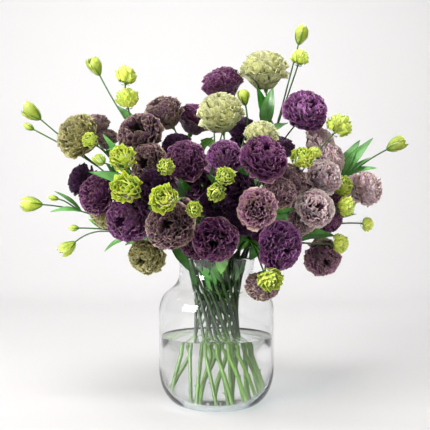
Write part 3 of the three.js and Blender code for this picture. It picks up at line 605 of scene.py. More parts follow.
class Piece:
    # One visible piece: meshes are added to it as arrays, and build() makes the Blender object in metres.

    def __init__(self, name):
        self.name, self.count, self.materials, self.added = name, 0, [], []

    def add(self, material, points, quads, fans, tint, places, maps=0, rims=False):
        # tint and places hold one row for each point: its colour, and where it is on its petal, leaf or stem;
        # rims marks the points of sharp edges
        if material not in self.materials:
            self.materials.append(material)
        slot, count = self.materials.index(material), len(points)
        self.added.append({
            "points": points,
            "tints": np.broadcast_to(tint, (count, 3)),
            "places": places,
            "rims": np.broadcast_to(rims, count),
            "quads": quads + self.count,
            "fans": fans + self.count,
            "maps": np.broadcast_to(maps, (len(quads), 4, 2)),
            "quadSlots": np.full(len(quads), slot),
            "fanSlots": np.full(len(fans), slot),
        })
        self.count += count

    def addSheets(self, material, sheets, thickness, tint, place, maps=0):
        points, faces = closedSheets(sheets, thickness)
        rim = np.ones((*sheets.shape[:3], 1), bool)
        rim[:, 1:-1, 1:-1] = False
        noFans = np.zeros((0, 3), int)
        places, rims = onBothSides(place, place), onBothSides(rim, rim)[:, 0]
        self.add(material, points, faces, noFans, tint, places, maps, rims)

    def addTube(self, points, radii, sides, tint, slant=0.0):
        # ring i: p(i) + radius(i) (cos a side(i) + sin a other(i)), both ends closed by a fan;
        # slant cuts the first end askew
        directions, side = carried(points)
        other = np.cross(directions, side)
        a = np.linspace(0, 2 * math.pi, sides, endpoint=False)
        radii = np.broadcast_to(radii, len(points))[:, None, None]
        spokes = np.cos(a)[None, :, None] * side[:, None] + np.sin(a)[None, :, None] * other[:, None]
        rings = points[:, None] + radii * spokes
        rings[0] += directions[0] * slant * radii[0, 0] * np.cos(a)[:, None]
        length = lengths(points) / 10
        grid = np.stack(np.broadcast_arrays(length[:, None], a[None] / (2 * math.pi), 0.5), -1).reshape(-1, 3)
        places = np.concatenate([grid, [[0, 0.5, 0.5], [length[-1], 0.5, 0.5]]])
        self.add(stemMaterial, *skin(rings, rings[0].mean(0), points[-1]), tint, places)

    def addTurned(self, material, profile):
        # ring j at profile point (r, z): (r cos a, r sin a, z); both ends lie on the axis and close as fans
        a = np.linspace(0, 2 * math.pi, vase["sides"], endpoint=False)
        r, z = profile[1:-1, :1], profile[1:-1, 1:]
        rings = np.stack(np.broadcast_arrays(r * np.cos(a), r * np.sin(a), z), -1)
        points, quads, fans = skin(rings, [0, 0, profile[0][1]], [0, 0, profile[-1][1]])
        self.add(material, points, quads, fans, np.ones(3), points * 0.1)

    def build(self, slot, *nodes, mapped=False):
        whole = {key: np.concatenate([part[key] for part in self.added]) for key in self.added[0]}
        quads, fans = whole["quads"], whole["fans"]
        corners = np.concatenate([quads.reshape(-1), fans.reshape(-1)])
        starts = np.concatenate([np.arange(len(quads)) * 4, len(quads) * 4 + np.arange(len(fans)) * 3])
        mesh = bpy.data.meshes.new(self.name)
        mesh.vertices.add(self.count)
        fill(mesh.vertices, "co", whole["points"] * millimetre)
        mesh.loops.add(len(corners))
        fill(mesh.loops, "vertex_index", corners, np.int32)
        mesh.polygons.add(len(starts))
        fill(mesh.polygons, "loop_start", starts, np.int32)
        slots = np.concatenate([whole["quadSlots"], whole["fanSlots"]])
        fill(mesh.polygons, "material_index", slots, np.int32)
        fill(mesh.polygons, "use_smooth", np.ones(len(starts)), bool)
        for material in self.materials:
            mesh.materials.append(material)
        addTints(mesh, whole["tints"])
        fill(mesh.attributes.new("place", "FLOAT_VECTOR", "POINT").data, "vector", whole["places"])
        if mapped:
            flat = np.concatenate([whole["maps"].reshape(-1), np.zeros(fans.size * 2)])
            fill(mesh.uv_layers.new(name="OFBake").uv, "vector", flat)
        mesh.update(calc_edges=True)
        ends = np.empty(len(mesh.edges) * 2, np.int32)
        mesh.edges.foreach_get("vertices", ends)
        fill(mesh.edges, "use_edge_sharp", whole["rims"][ends.reshape(-1, 2)].all(1), bool)
        mesh.validate()
        made = bpy.data.objects.new(self.name, mesh)
        bpy.context.scene.collection.objects.link(made)
        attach(made, "root")
        if nodes:
            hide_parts(*nodes)


# Materials

class Nodes:
    # The shader nodes of one tree. An input is a number, a colour or another node's output.

    def __init__(self, tree):
        self.tree = tree

    def put(self, node, inputs):
        for name, value in inputs.items():
            socket = node.inputs[name]
            if isinstance(value, bpy.types.NodeSocket):
                self.tree.links.new(value, socket)
            else:
                socket.default_value = (*value, 1) if socket.type == "RGBA" else value

    def node(self, kind, inputs=None, **settings):
        made = self.tree.nodes.new("ShaderNode" + kind)
        for name, value in settings.items():
            setattr(made, name, value)
        self.put(made, inputs or {})
        return made

    def attribute(self, name, output):
        return self.node("Attribute", attribute_name=name).outputs[output]

    def noise(self, vector, scale, detail, roughness=0.55):
        inputs = {"Vector": vector, "Scale": scale, "Detail": detail, "Roughness": roughness}
        return self.node("TexNoise", inputs).outputs["Fac"]

    def ranged(self, value, low, high, toLow, toHigh):
        inputs = {"Value": value, "From Min": low, "From Max": high, "To Min": toLow, "To Max": toHigh}
        return self.node("MapRange", inputs).outputs["Result"]

    def calculated(self, operation, *values):
        return self.node("Math", dict(enumerate(values)), operation=operation).outputs[0]

    def product(self, a, b):
        return self.calculated("MULTIPLY", a, b)

    def scaled(self, tint, factor):
        return self.node("VectorMath", {0: tint, "Scale": factor}, operation="SCALE").outputs[0]

    def mixed(self, share, a, b):  # inputs 6 and 7 and output 2 are the node's colours
        return self.node("Mix", {0: share, 6: a, 7: b}, data_type="RGBA").outputs[2]

    def bump(self, height, strength, distance):
        return self.node("Bump", {"Height": height, "Strength": strength, "Distance": distance}).outputs[0]


def newMaterial(name):
    material = bpy.data.materials.new(name)
    material.use_nodes = True
    material.node_tree.nodes.clear()
    nodes = Nodes(material.node_tree)
    shader = nodes.node("BsdfPrincipled")
    output = nodes.node("OutputMaterial", {"Surface": shader.outputs[0]})
    return material, nodes, shader, output


# A petal's finish: roughness, velvety sheen and its tint, light let through, soft mottling, fine veins from
# its base to its rim, an edge margin partly of its own colour, partly painted highlight (width in mm,
# strength), blotches
finishParts = "rough", "sheen", "sheenTint", "under", "mottle", "vein", "margin", "marginStrength", "blotches"
petalFinish = {
    "plum": (0.45, 0.12, "9a6aa0", 0.04, 0.5, 0.22, 1.0, 0.6, 0.6),
    "purple": (0.45, 0.15, "b080bc", 0.05, 0.45, 0.22, 1.0, 0.55, 0.6),
    "dark": (0.5, 0.1, "6c4a74", 0.0, 0.5, 0.2, 0.9, 0.55, 0.5),
    "mauve": (0.52, 0.1, "b098a8", 0.06, 0.45, 0.25, 1.2, 0.65, 0.5),
    "lilac": (0.55, 0.12, "cbb8cc", 0.1, 0.32, 0.22, 1.4, 0.8, 0.5),
    "olive": (0.62, 0.12, "c0b890", 0.08, 0.42, 0.25, 1.5, 0.7, 0.7),
    "cream": (0.6, 0.1, "e8e8c8", 0.18, 0.2, 0.08, 1.3, 0.7, 0.5),
    "green": (0.55, 0.1, "e0f0a0", 0.2, 0.26, 0.08, 1.0, 0.7, 0.4),
}
petalFinish = {name: dict(zip(finishParts, row)) for name, row in petalFinish.items()}
# what all petal materials share
petalLook = {
    "broad": {"scale": 75, "detail": 3},
    "mottle": {"scale": 300, "detail": 4},
    "fine": {"scale": 1400, "detail": 2},
    "waver": {"scale": 180, "detail": 2},
    "creases": {"scale": 330, "detail": 3, "roughness": 0.6},
    "blotched": (0.5, 0.66),  # between these values of the broad noise a blotch sets in
    "marginWidth": (0.4, 2.0),  # the least and the most, of the finish's margin
    "marginFades": (0.45, 1.0),
    "veins": 9.0,  # across a petal
    "veinWaver": 0.35,
    "veinWidth": 0.16,
    "streaks": (4.0, 22.0, 0.0),  # how fine along the petal and across it
    "pleatHeight": 0.7,
    "veinHeight": 0.25,
    "bump": {"strength": 0.5, "distance": 0.0013},
    "sheenRoughness": 0.35,
    "under": {"reach": (1.0, 0.8, 0.4), "scale": 0.003},
}
greenLook = {
    "patches": {"scale": 90, "detail": 3},
    "fine": {"scale": 900, "detail": 2},
    "veinWidth": 0.14,
    "veinLight": 1.22,
    "veinHeight": 2.0,
    "bump": {"strength": 0.3, "distance": 0.0004},
    "sheenRoughness": 0.5,
    "waxTint": "c0dcb0",
    "under": {"share": 0.06, "reach": (0.6, 1.0, 0.3), "scale": 0.0015},
}


def petalMaterial(name):
    look, finish, tone = petalLook, petalFinish[name], tones[name]
    material, nodes, shader, _ = newMaterial("petal_" + name)
    coordinates = nodes.node("TexCoord").outputs["Object"]
    place = nodes.attribute("place", "Vector")
    _, across, edge = nodes.node("SeparateXYZ", {0: place}).outputs
    broad = nodes.noise(coordinates, **look["broad"])
    mottle = nodes.noise(coordinates, **look["mottle"])
    fine = nodes.noise(coordinates, **look["fine"])
    blotches = nodes.ranged(broad, *look["blotched"], 0, finish["blotches"])
    surface = nodes.mixed(blotches, nodes.attribute("tint", "Color"), tone["patch"])
    # the margin: edge is the distance to the petal's edge in mm, compared with a width that wanders
    width = nodes.ranged(mottle, 0.3, 0.7, *(share * finish["margin"] for share in look["marginWidth"]))
    inwards = nodes.calculated("DIVIDE", edge, width)
    margin = nodes.ranged(inwards, *look["marginFades"], finish["marginStrength"], 0.0)
    # the margin's colour is partly the petal's own edge and partly a painted highlight on the crests
    surface = nodes.mixed(margin, surface, tone["rim"])
    # veins: thin dark lines where the place across the petal, wavered a little, passes whole numbers
    waver = nodes.noise(coordinates, **look["waver"])
    waver = nodes.ranged(waver, 0, 1, -look["veinWaver"], look["veinWaver"])
    strands = nodes.calculated("ADD", nodes.product(across, look["veins"]), waver)
    zigzag = nodes.calculated("PINGPONG", strands, 0.5)
    vein = nodes.ranged(zigzag, 0.0, look["veinWidth"], 1 - finish["vein"], 1.0)
    shade = nodes.ranged(mottle, 0.25, 0.75, 1 - finish["mottle"], 1 + finish["mottle"])
    speckle = nodes.ranged(fine, 0.3, 0.7, 0.86, 1.14)
    factor = nodes.product(nodes.product(shade, vein), speckle)
    # crumpled thin tissue: streaks that follow the petal, and creases that do not
    streaks = nodes.node("Mapping", {"Vector": place, "Scale": look["streaks"]}).outputs[0]
    pleats = nodes.noise(streaks, scale=1.0, detail=3)
    creases = nodes.noise(coordinates, **look["creases"])
    height = nodes.calculated("ADD", nodes.product(pleats, look["pleatHeight"]), creases)
    height = nodes.calculated("ADD", height, nodes.product(vein, look["veinHeight"]))
    nodes.put(shader, {
        "Base Color": nodes.scaled(surface, factor),
        "Roughness": nodes.ranged(mottle, 0.2, 0.8, finish["rough"] - 0.1, finish["rough"] + 0.12),
        "Normal": nodes.bump(height, **look["bump"]),
        "Specular IOR Level": 0.5,
        "Sheen Weight": finish["sheen"],
        "Sheen Roughness": look["sheenRoughness"],
        "Sheen Tint": colour(finish["sheenTint"]),
    })
    if finish["under"]:
        letThrough(nodes, shader, finish["under"], **look["under"])
    return material


def letThrough(nodes, shader, share, reach, scale):
    nodes.put(shader, {"Subsurface Weight": share, "Subsurface Radius": reach, "Subsurface Scale": scale})


def greenMaterial(name, roughness, streaks, bloomed):
    # Leaves and stems: lengthwise veins or streaks, a waxy bloom in patches
    look = greenLook
    material, nodes, shader, _ = newMaterial(name)
    coordinates = nodes.node("TexCoord").outputs["Object"]
    across = nodes.node("SeparateXYZ", {0: nodes.attribute("place", "Vector")}).outputs[1]
    patches = nodes.noise(coordinates, **look["patches"])
    fine = nodes.noise(coordinates, **look["fine"])
    zigzag = nodes.calculated("PINGPONG", nodes.product(across, streaks), 0.5)
    vein = nodes.ranged(zigzag, 0.0, look["veinWidth"], look["veinLight"], 1.0)
    shade = nodes.ranged(patches, 0.3, 0.7, 0.78, 1.22)
    factor = nodes.product(nodes.product(shade, vein), nodes.ranged(fine, 0.3, 0.7, 0.93, 1.07))
    height = nodes.calculated("ADD", nodes.product(vein, look["veinHeight"]), fine)
    nodes.put(shader, {
        "Base Color": nodes.scaled(nodes.attribute("tint", "Color"), factor),
        "Roughness": nodes.ranged(patches, 0.2, 0.8, roughness - 0.1, roughness + 0.1),
        "Normal": nodes.bump(height, **look["bump"]),
        "Specular IOR Level": 0.4,
        "Sheen Weight": bloomed,
        "Sheen Roughness": look["sheenRoughness"],
        "Sheen Tint": colour(look["waxTint"]),
    })
    letThrough(nodes, shader, **look["under"])
    return material


def clearMaterial(name, ior, shadow, absorbed, density):
    # Clear stuff that bends light and dims it along its way; lamps shine through it, a little weaker
    material, nodes, shader, output = newMaterial(name)
    nodes.put(shader, {"Base Color": (1, 1, 1), "Roughness": 0.0, "IOR": ior, "Transmission Weight": 1.0})
    path = nodes.node("LightPath")
    through = nodes.node("BsdfTransparent", {"Color": shadow})
    surface = {0: path.outputs["Is Shadow Ray"], 1: shader.outputs[0], 2: through.outputs[0]}
    depth = nodes.node("VolumeAbsorption", {"Color": absorbed, "Density": density})
    nodes.put(output, {"Surface": nodes.node("MixShader", surface).outputs[0], "Volume": depth.outputs[0]})
    return material


petalMaterials = {name: petalMaterial(name) for name in petalFinish}
leafMaterial = greenMaterial("leaf_green", roughness=0.36, streaks=5.0, bloomed=0.05)
stemMaterial = greenMaterial("stem_green", roughness=0.45, streaks=8.0, bloomed=0.0)
glassLook = {"ior": 1.45, "shadow": (0.92, 0.94, 0.945), "absorbed": (0.48, 0.55, 0.56), "density": 21}
glassMaterial = clearMaterial("clear_glass", **glassLook)
waterLook = {"ior": 1.333, "shadow": (0.96, 0.965, 0.97), "absorbed": (0.5, 0.54, 0.55), "density": 1.4}
waterMaterial = clearMaterial("clear_water", **waterLook)
print("materials made")


# Petals. A head's petals stand round its axis in a spiral, the innermost first. In shares of the head's half
# width and half depth, a petal's middle line is a cubic curve in (distance from the axis, height), from its
# claw at the bottom to its rim on a dome. Its sides go round the axis, and its rim waves along the surface's
# normal. A bloom has many short ruffled petals, of which only the upper part is made, and a few broad ones
# round them.

goldenAngle = math.radians(137.5)

frillShape = {
    "petals": 62,
    "rows": 4,
    "columns": 14,
    "scale": 1.04,
    "start": 0.5,  # where on the middle line it begins
    "polar": (7, 84),  # degrees from the axis to the rim of the innermost and the outermost petal
    "lean": (0, 56),  # degrees between the axis and the upper part of the innermost and the outermost petal
    "stand": 0.4,  # length of that straight part
    "gather": 1.25,  # over 1 draws the rims together in the middle
    "uneven": 3.5,  # degrees that the rims stray
    "cup": 0.05,  # how far each petal bulges outward across its width
    "wobble": 0.05,  # how far the head is from round
    "claw": 0.09,
    "clawHeight": -0.9,
    "width": (0.34, 0.42),  # half width of the inner and outer petals
    "lip": (0.02, 0.05),  # how far the rim turns out
    "depth": (0.07, 0.066),  # of the folds
    "folds": (7, 17, 31),  # how many go round the head: broad, middle, fine
    "weights": (0.9, 0.7, 0.7),
    "growing": (0.4, 0.55, 0.7),  # where on the middle line each kind of fold begins
    "stray": 0.9,  # how far a petal's folds differ from its neighbours'
    "crumple": 0.009,
    "jag": 0.02,
    "corner": 0.16,
    "square": 4.0,
    "thickness": 0.35,
}
# the other shapes name only what differs
guardShape = frillShape | {
    "petals": 8, "rows": 6, "columns": 15, "scale": 1.08, "start": 0.0, "polar": (78, 99), "lean": (50, 68),
    "stand": 0.5, "gather": 1.0, "uneven": 8.0, "width": (0.6, 0.82), "lip": (0.08, 0.16),
    "depth": (0.06, 0.05), "weights": (0.9, 0.8, 0.5), "growing": (0.3, 0.55, 0.75), "jag": 0.015,
    "corner": 0.22, "square": 3.2, "thickness": 0.4,
}
rearFrill = frillShape | {"petals": 38, "columns": 11, "width": (0.36, 0.5), "folds": (6, 13, 22)}
rearGuard = guardShape | {"petals": 7, "columns": 11, "folds": (6, 11, 18)}
coreFrill = rearFrill | {"petals": 24, "columns": 10, "width": (0.4, 0.6)}
ballShape = frillShape | {
    "petals": 40, "columns": 10, "scale": 1.0, "polar": (1, 106), "lean": (-46, 40), "gather": 1.55,
    "uneven": 3.0, "cup": 0.09, "width": (0.27, 0.36), "lip": (0.0, 0.03), "depth": (0.075, 0.08),
    "folds": (6, 12, 20), "weights": (0.7, 0.9, 0.6), "corner": 0.2, "square": 3.0, "thickness": 0.5,
}
budShape = {
    "petals": 6, "rows": 9, "columns": 9, "scale": 1.0, "start": 0.0, "claw": 0.16, "clawHeight": -0.97,
    "width": (0.5, 0.62), "depth": (0.08, 0.1), "folds": (3, 8, 12), "weights": (0.5, 0.5, 0.4),
    "growing": (0.1, 0.2, 0.4), "cup": 0.05, "wobble": 0.01, "stray": 1.5, "crumple": 0.015, "jag": 0.04,
    "corner": 0.34, "square": 1.5, "thickness": 0.5,
}
usualOpen = {"mauve": 0.5, "purple": 0.35, "dark": 0.3, "lilac": 0.3, "plum": 0.25, "olive": 0.2}
rearFrom = 80  # millimetres behind the vase's axis; blooms further back have fewer, simpler petals
closingBuds = (22, 14)  # a bud of the first width is open, of the second closed
# what all petals share
petalForm = {
    "opening": 20,  # degrees that an open bloom's innermost rim lies further from the axis
    "leanStrays": 6,  # degrees
    "reach": 0.98,
    "reachStrays": 0.022,
    "bulge": 0.6,  # how far out it is, of the rim's distance
    "bulgeDrop": 0.04,
    "packed": 0.8,  # under 1 brings the rows closer together towards the rim
    "crown": 0.04,  # how round the rim is
    "widest": 1.35,  # radians that half a petal goes round the axis at most
    "clawWidth": 0.72,  # of its width further up
    "curl": 0.05,  # how far the sides curl, in or out
    "lipOut": 1.1,  # how much of the lip goes out, and how much down
    "lipDown": 0.25,
    "shingle": 0.045,  # how much further out one side lies than the middle
    "furl": 0.9,  # radians that a bud's petals turn round its axis up to their tips
    "slopeStep": 0.01,  # over which the middle line's slope is taken
    "brightest": 0.85,  # that a petal's colour may be
}


def domeProfile(shape, order, draw, loose=1.0):
    # the middle line's control points: claw, a bulge low down, a point under the rim along its lean, the rim.
    # The rims share out the dome's area evenly.
    form, count = petalForm, len(order)
    innermost, outermost = shape["polar"]
    first, last = np.cos(np.radians([innermost + form["opening"] * shape.get("open", 0.0), outermost]))
    polar = np.arccos(mix(first, last, order ** shape["gather"]))
    polar = polar + np.radians(draw.normal(0, shape["uneven"], count)) * loose
    lean = np.radians(mix(*shape["lean"], order) + draw.normal(0, form["leanStrays"], count) * loose)
    reachOut = form["reach"] + draw.normal(0, form["reachStrays"], count) * loose
    lip = mix(*shape["lip"], order) * (1 + draw.uniform(-0.9, 1.1, count) * loose)
    rim = np.abs(np.sin(polar)) * reachOut - lip
    height = np.cos(polar) * reachOut
    claw = np.full(count, shape["claw"])
    bottom = np.full(count, shape["clawHeight"])
    distances = claw, claw + form["bulge"] * rim, rim - shape["stand"] * np.sin(lean), rim
    heights = bottom, bottom - form["bulgeDrop"], height - shape["stand"] * np.cos(lean), height
    return np.array(distances), np.array(heights), lip


def budProfile(shape, order, draw, loose=1.0):
    # a cone, widest above its middle and a little open, its tips at uneven heights; a small bud is closed
    count = len(order)
    closed = shape.get("closed", 0.0)
    closing = mix(0.3, 0.72, order) + draw.uniform(-0.15, 0.15, count) * loose
    closing = closing * (1 - 0.85 * closed)
    top = 0.95 + draw.uniform(-0.14, 0.1, count) * loose + 0.35 * closed
    one = np.ones(count)
    scale = mix(0.86, 1.0, order)
    distances = one * shape["claw"], 0.55 * scale, 1.45 * scale, closing
    heights = one * shape["clawHeight"], -0.72 * one, 0.3 * one, top
    return np.array(distances), np.array(heights), 0 * one


profiles = {"bloom": domeProfile, "ball": domeProfile, "bud": budProfile}


def foldsOf(shape, distances, angle, u, along, order, draw):
    # broad, middle and fine waves, counted round the head so that petals lying on each other fold alike
    count = len(order)
    folded = 0.0
    for kind, start in enumerate(shape["growing"]):
        number = np.full(count, shape["folds"][kind])
        if kind:
            number = np.maximum(np.round(number * distances[3]), 4)
        phase = draw.uniform(0, 2 * math.pi) + 1.5 * order + draw.normal(0, shape["stray"], count)
        weight = shape["weights"][kind] * draw.uniform(0.6, 1.3, count)
        wave = np.sin(spread(number) * angle + spread(phase) + 0.8 * u)
        folded = folded + spread(weight) * wave * smooth(start, 1.0, along)
    return folded


def spread(values):  # one value for each petal, made ready for its grid of points
    return values[..., None, None]


def sloped(ends, u, size):  # the curve's place and its slope
    ends, step = spread(ends), petalForm["slopeStep"]
    return cubic(ends, u) * size, (cubic(ends, u + step) - cubic(ends, u - step)) * size


def petalSheets(head, shape, draw):
    # x = r(u) cos(a), y = r(u) sin(a), z = h(u), a = turn + half angle * v; u from claw to rim, v across.
    # The folds, which grow towards the rim, move r and h along the middle line's normal.
    form, count, rows, columns = petalForm, shape["petals"], shape["rows"], shape["columns"]
    across, deep = head["across"] * shape["scale"], head["deep"] * shape["scale"]
    order = np.arange(count) / (count - 1)
    distances, heights, lip = profiles[head["kind"]](shape, order, draw)
    turn = draw.uniform(0, 2 * math.pi) + goldenAngle * np.arange(count) + draw.normal(0, 0.1, count)
    v = np.linspace(-1, 1, columns)[None, None]
    along = (np.linspace(0, 1, rows) ** form["packed"])[None, :, None]
    jagged = draw.uniform(-1, 1, (count, 1, columns)) * shape["jag"]
    made = along * (1 - shape["corner"] * np.abs(v) ** shape["square"] - form["crown"] * v**2 + jagged)
    u = mix(shape["start"], 1.0, made)
    along = mix(shape["start"], 1.0, along)
    halfWidth = mix(*shape["width"], order) * draw.uniform(0.9, 1.12, count)
    halfAngle = spread(np.minimum(halfWidth / np.maximum(distances[3], 0.3), form["widest"]))
    angle = spread(turn) + halfAngle * v * mix(form["clawWidth"], 1.0, smooth(0.0, 0.6, u))
    (r, slopeR), (h, slopeH) = sloped(distances, u, across), sloped(heights, u, deep)
    length = np.sqrt(slopeR**2 + slopeH**2) + 1e-9
    lipped = smooth(0.72, 1.0, along) ** 1.5 * spread(lip) * across
    folded = foldsOf(shape, distances, angle, u, along, order, draw)
    crumple = draw.normal(0, 1, (count, rows, columns)) * shape["crumple"] * smooth(0.1, 0.5, along)
    curl = draw.normal(0, form["curl"], (count, 1, 1)) * v**2 * smooth(0.15, 1.0, along)
    offset = (folded * spread(mix(*shape["depth"], order)) + crumple + curl) * across
    r = r + lipped * form["lipOut"] + slopeH / length * offset
    h = h - lipped * form["lipDown"] + -slopeR / length * offset
    # overlapping like shingles: one side of each petal lies inside its neighbour
    r = r * (1 + form["shingle"] * v * smooth(0.1, 0.5, u)) * (1 - shape["cup"] * v**2)
    if head["kind"] == "bud":
        angle = angle + form["furl"] * u**2
    # no head is quite round
    size, phase = shape["wobble"] * head["wobble"][:3] * (1.6, 1.3, 1.6), math.pi * head["wobble"][3:]
    r = r * (1 + size[0] * np.sin(angle + phase[0]) + size[1] * np.sin(2 * angle + phase[1]))
    h = h + size[2] * deep * np.sin(angle + phase[2]) * smooth(0.2, 0.8, u)
    r = np.maximum(r, 0.25)
    local = np.stack(np.broadcast_arrays(r * np.cos(angle), r * np.sin(angle), h), -1)
    reach = np.hypot((distances[3] - distances[0]) * across, (heights[3] - heights[0]) * deep) * 1.15
    edge = np.minimum((1 - along) * spread(reach), (1 - np.abs(v)) * spread(halfWidth) * across)
    return local, *np.broadcast_arrays(u, v, edge), order


def toWorld(head, local):
    facing = head["facing"]
    side = unit(np.cross(facing, [0.0, 1.0, 0.0] if abs(facing[2]) > 0.9 else up))
    other = np.cross(facing, side)
    return head["centre"] + local[..., :1] * side + local[..., 1:2] * other + local[..., 2:] * facing


def petalTints(tone, u, order, broad, draw):
    # inner side: painted shade deep in the bloom to face; outer side: its own colour; each petal a little
    # different
    each = (len(order), 1, 1, 1)
    shade = np.exp(draw.normal(0, 0.2, each))
    # painted shade: the colour darkens from the rim down into the bloom, more so on the inner petals
    outOfShade = smooth(0.6, 1.0, u) ** 1.9 * mix(0.8, 1.0, order.reshape(each))
    throatShade, face, back = tone["throatShade"], tone["face"], tone["back"]
    if broad:
        share = draw.uniform(0.3, 1.0, each)
        face, back = mix(face, tone["guard"], share), mix(back, tone["guard"], share)
    # the outer side also takes painted shade towards its base
    outer = mix(mix(throatShade, face, 0.4), back, smooth(0.35, 0.95, u))
    return mix(throatShade, face, outOfShade) * shade, outer * shade


def addPetals(piece, head, shape, draw, first, total):
    local, u, v, edge, order = petalSheets(head, shape, draw)
    inner, outer = petalTints(tones[head["tone"]], u[..., None], order, shape["start"] == 0, draw)
    mark = np.broadcast_to(draw.uniform(0, 1, (len(order), 1, 1)), u.shape)
    place = np.stack([u, (v + 1) / 2 + mark * 7, edge], -1)
    # light: partly the head's own tone, partly painted light and shade
    tint = np.minimum(onBothSides(inner, outer) * head.get("light", 1.0), petalForm["brightest"])
    maps = sheetMap(*u.shape, first, total)
    piece.addSheets(petalMaterials[head["tone"]], toWorld(head, local), shape["thickness"], tint, place, maps)


def shapesOf(head):
    # the shapes of its petals, the inner ones first
    if head["kind"] == "ball":
        return [ballShape]
    if head["kind"] == "bud":
        return [{**budShape, "closed": float(smooth(*closingBuds, head["wide"]))}]
    if head.get("core"):
        return [coreFrill, rearGuard]
    return [rearFrill, rearGuard] if head["at"][2] > rearFrom else [frillShape, guardShape]


# Green parts

stemForm = {
    "step": 7,
    "sides": 10,
    "tip": 0.86,  # its radius there, of the whole
    "slant": 0.8,  # of the cut at its foot
    "shade": (0.75, 1.2),
    "firstJoint": (18, 50),
    "jointsApart": (58, 78),
    "jointSwell": 0.25,
    "jointLength": 3.5,
    "wetBlend": 10,  # above and below the water's level
}
fillingLeaves = {
    "shares": (0.34, 0.72, 0.84, 0.95),  # of the stem's length, where they grow
    "length": (38, 62),
    "width": (16, 24),
    "tries": 14,
    "scatter": 0.75,
    "onward": 1.1,
    "toViewer": 0.35,
}
# below is how many of the stem's points below the mouth, above is how many past it
neckLeaves = {"share": 0.6, "length": (38, 56), "width": (7, 12), "below": 3}
sideShoots = {
    "each": 2,
    "points": 15,
    "sides": 8,
    "radius": (1.6, 2.1),
    "from": (130, 175),
    "above": 3,
    "inward": (20, 62),
    "aside": 14,
}
stubs = {
    "upTo": 235,
    "left": 0.25,
    "wet": (3, 7),  # their length in the water, and above it
    "dry": (6, 15),
    "upward": (0.6, 1.6),
    "radii": (1.3, 1.15, 1.0, 0.85, 0.65),
    "wetTip": 0.5,
    "dryTip": 0.12,
}
# how a stalk widens into its head: how far past its end, and its radius there. A bud's grow with the bud.
usualBud = 13  # half the width of one
widenings = {
    "bloom": ((2.5, 5.0, 7.5, calyxLength + 2.5), (1.9, 2.9, 3.9, 4.3)),
    "ball": ((0.5, 2.0), (2.4, 2.6)),
    "bud": ((1.0, 2.5, 4.0), (1.8, 2.6, 3.2)),
}
sepals = {
    "count": 5,
    "rows": 9,
    "columns": 3,
    "thickness": 0.5,
    "away": 0.5,  # how far they stand off the petals
    "reach": {"bloom": 0.3, "ball": 0.32, "bud": 0.62},
    "width": {"bloom": 2.3, "ball": 2.0, "bud": 1.6},
}


def resampled(points, step):
    # the line's points at even steps of its length
    length = lengths(points)
    even = np.linspace(0, length[-1], max(int(length[-1] / step), 3) + 1)
    return np.stack([np.interp(even, length, points[:, k]) for k in range(3)], 1), even


def addStem(piece, spray, draw):
    form, level = stemForm, water["level"]
    points, length = resampled(spray["stem"]["points"], form["step"])
    radii = stemRadius * mix(1.0, form["tip"], length / length[-1])
    joints = np.arange(draw.uniform(*form["firstJoint"]), length[-1] - 20, draw.uniform(*form["jointsApart"]))
    for joint in joints:
        radii = radii + form["jointSwell"] * np.exp(-(((length - joint) / form["jointLength"]) ** 2))
    height = np.concatenate([np.repeat(points[:, 2], form["sides"]), points[[0, -1], 2]])
    wet = smooth(level + form["wetBlend"], level - form["wetBlend"], height)[:, None]
    shade = draw.uniform(*form["shade"])
    # above the water: painted shade of the bunch, deeper on some stems than on others
    dry = mix(greens["stem"], greens["stemShade"], draw.uniform(0, 0.8))
    tint = mix(dry, greens["stemWet"], wet * 0.8) * shade
    piece.addTube(points, radii, form["sides"], tint, form["slant"])
    # stubs and small bracts where leaves were stripped
    for joint in joints:
        i = int(np.argmin(np.abs(length - joint)))
        direction = lineTangent(points, i)
        outward = unit(np.cross(direction, draw.normal(0, 1, 3)))
        for way in (1, -1):
            if points[i][2] > stubs["upTo"] or draw.uniform() < stubs["left"]:
                continue
            wetStub = points[i][2] < level
            long = draw.uniform(*stubs["wet" if wetStub else "dry"])
            start = points[i] + outward * way * stemRadius * 0.6
            end = start + (outward * way + direction * draw.uniform(*stubs["upward"])) * long * 0.55
            middle = (start + end) / 2 + outward * way * long * 0.12
            line = cubic((start, start, middle, end), np.linspace(0, 1, 6)[:, None])
            width = np.array([*stubs["radii"], stubs["wetTip" if wetStub else "dryTip"]])
            piece.addTube(line, width, 6, tint[0] * 0.9)


def addStalk(piece, head, draw):
    line, length = resampled(head["stalk"]["points"], stalk["step"])
    radii = np.full(len(line), stalk["radius"]) * mix(1.12, 0.95, length / max(length[-1], 1))
    past, wider = np.array(widenings[head["kind"]])
    if head["kind"] == "bud":
        past, wider = past * head["across"] / usualBud, wider * head["across"] / usualBud
    whole = np.concatenate([line, line[-1] + head["facing"] * past[:, None]])
    calyxShare = np.concatenate([np.zeros(len(line)), np.ones(len(past))])
    calyxShare = np.concatenate([np.repeat(calyxShare, stalk["sides"]), [0, 1]])[:, None]
    tint = mix(greens["stalk"] * draw.uniform(0.65, 1.1), greens["calyx"], calyxShare)
    piece.addTube(whole, np.concatenate([radii, wider]), stalk["sides"], tint)


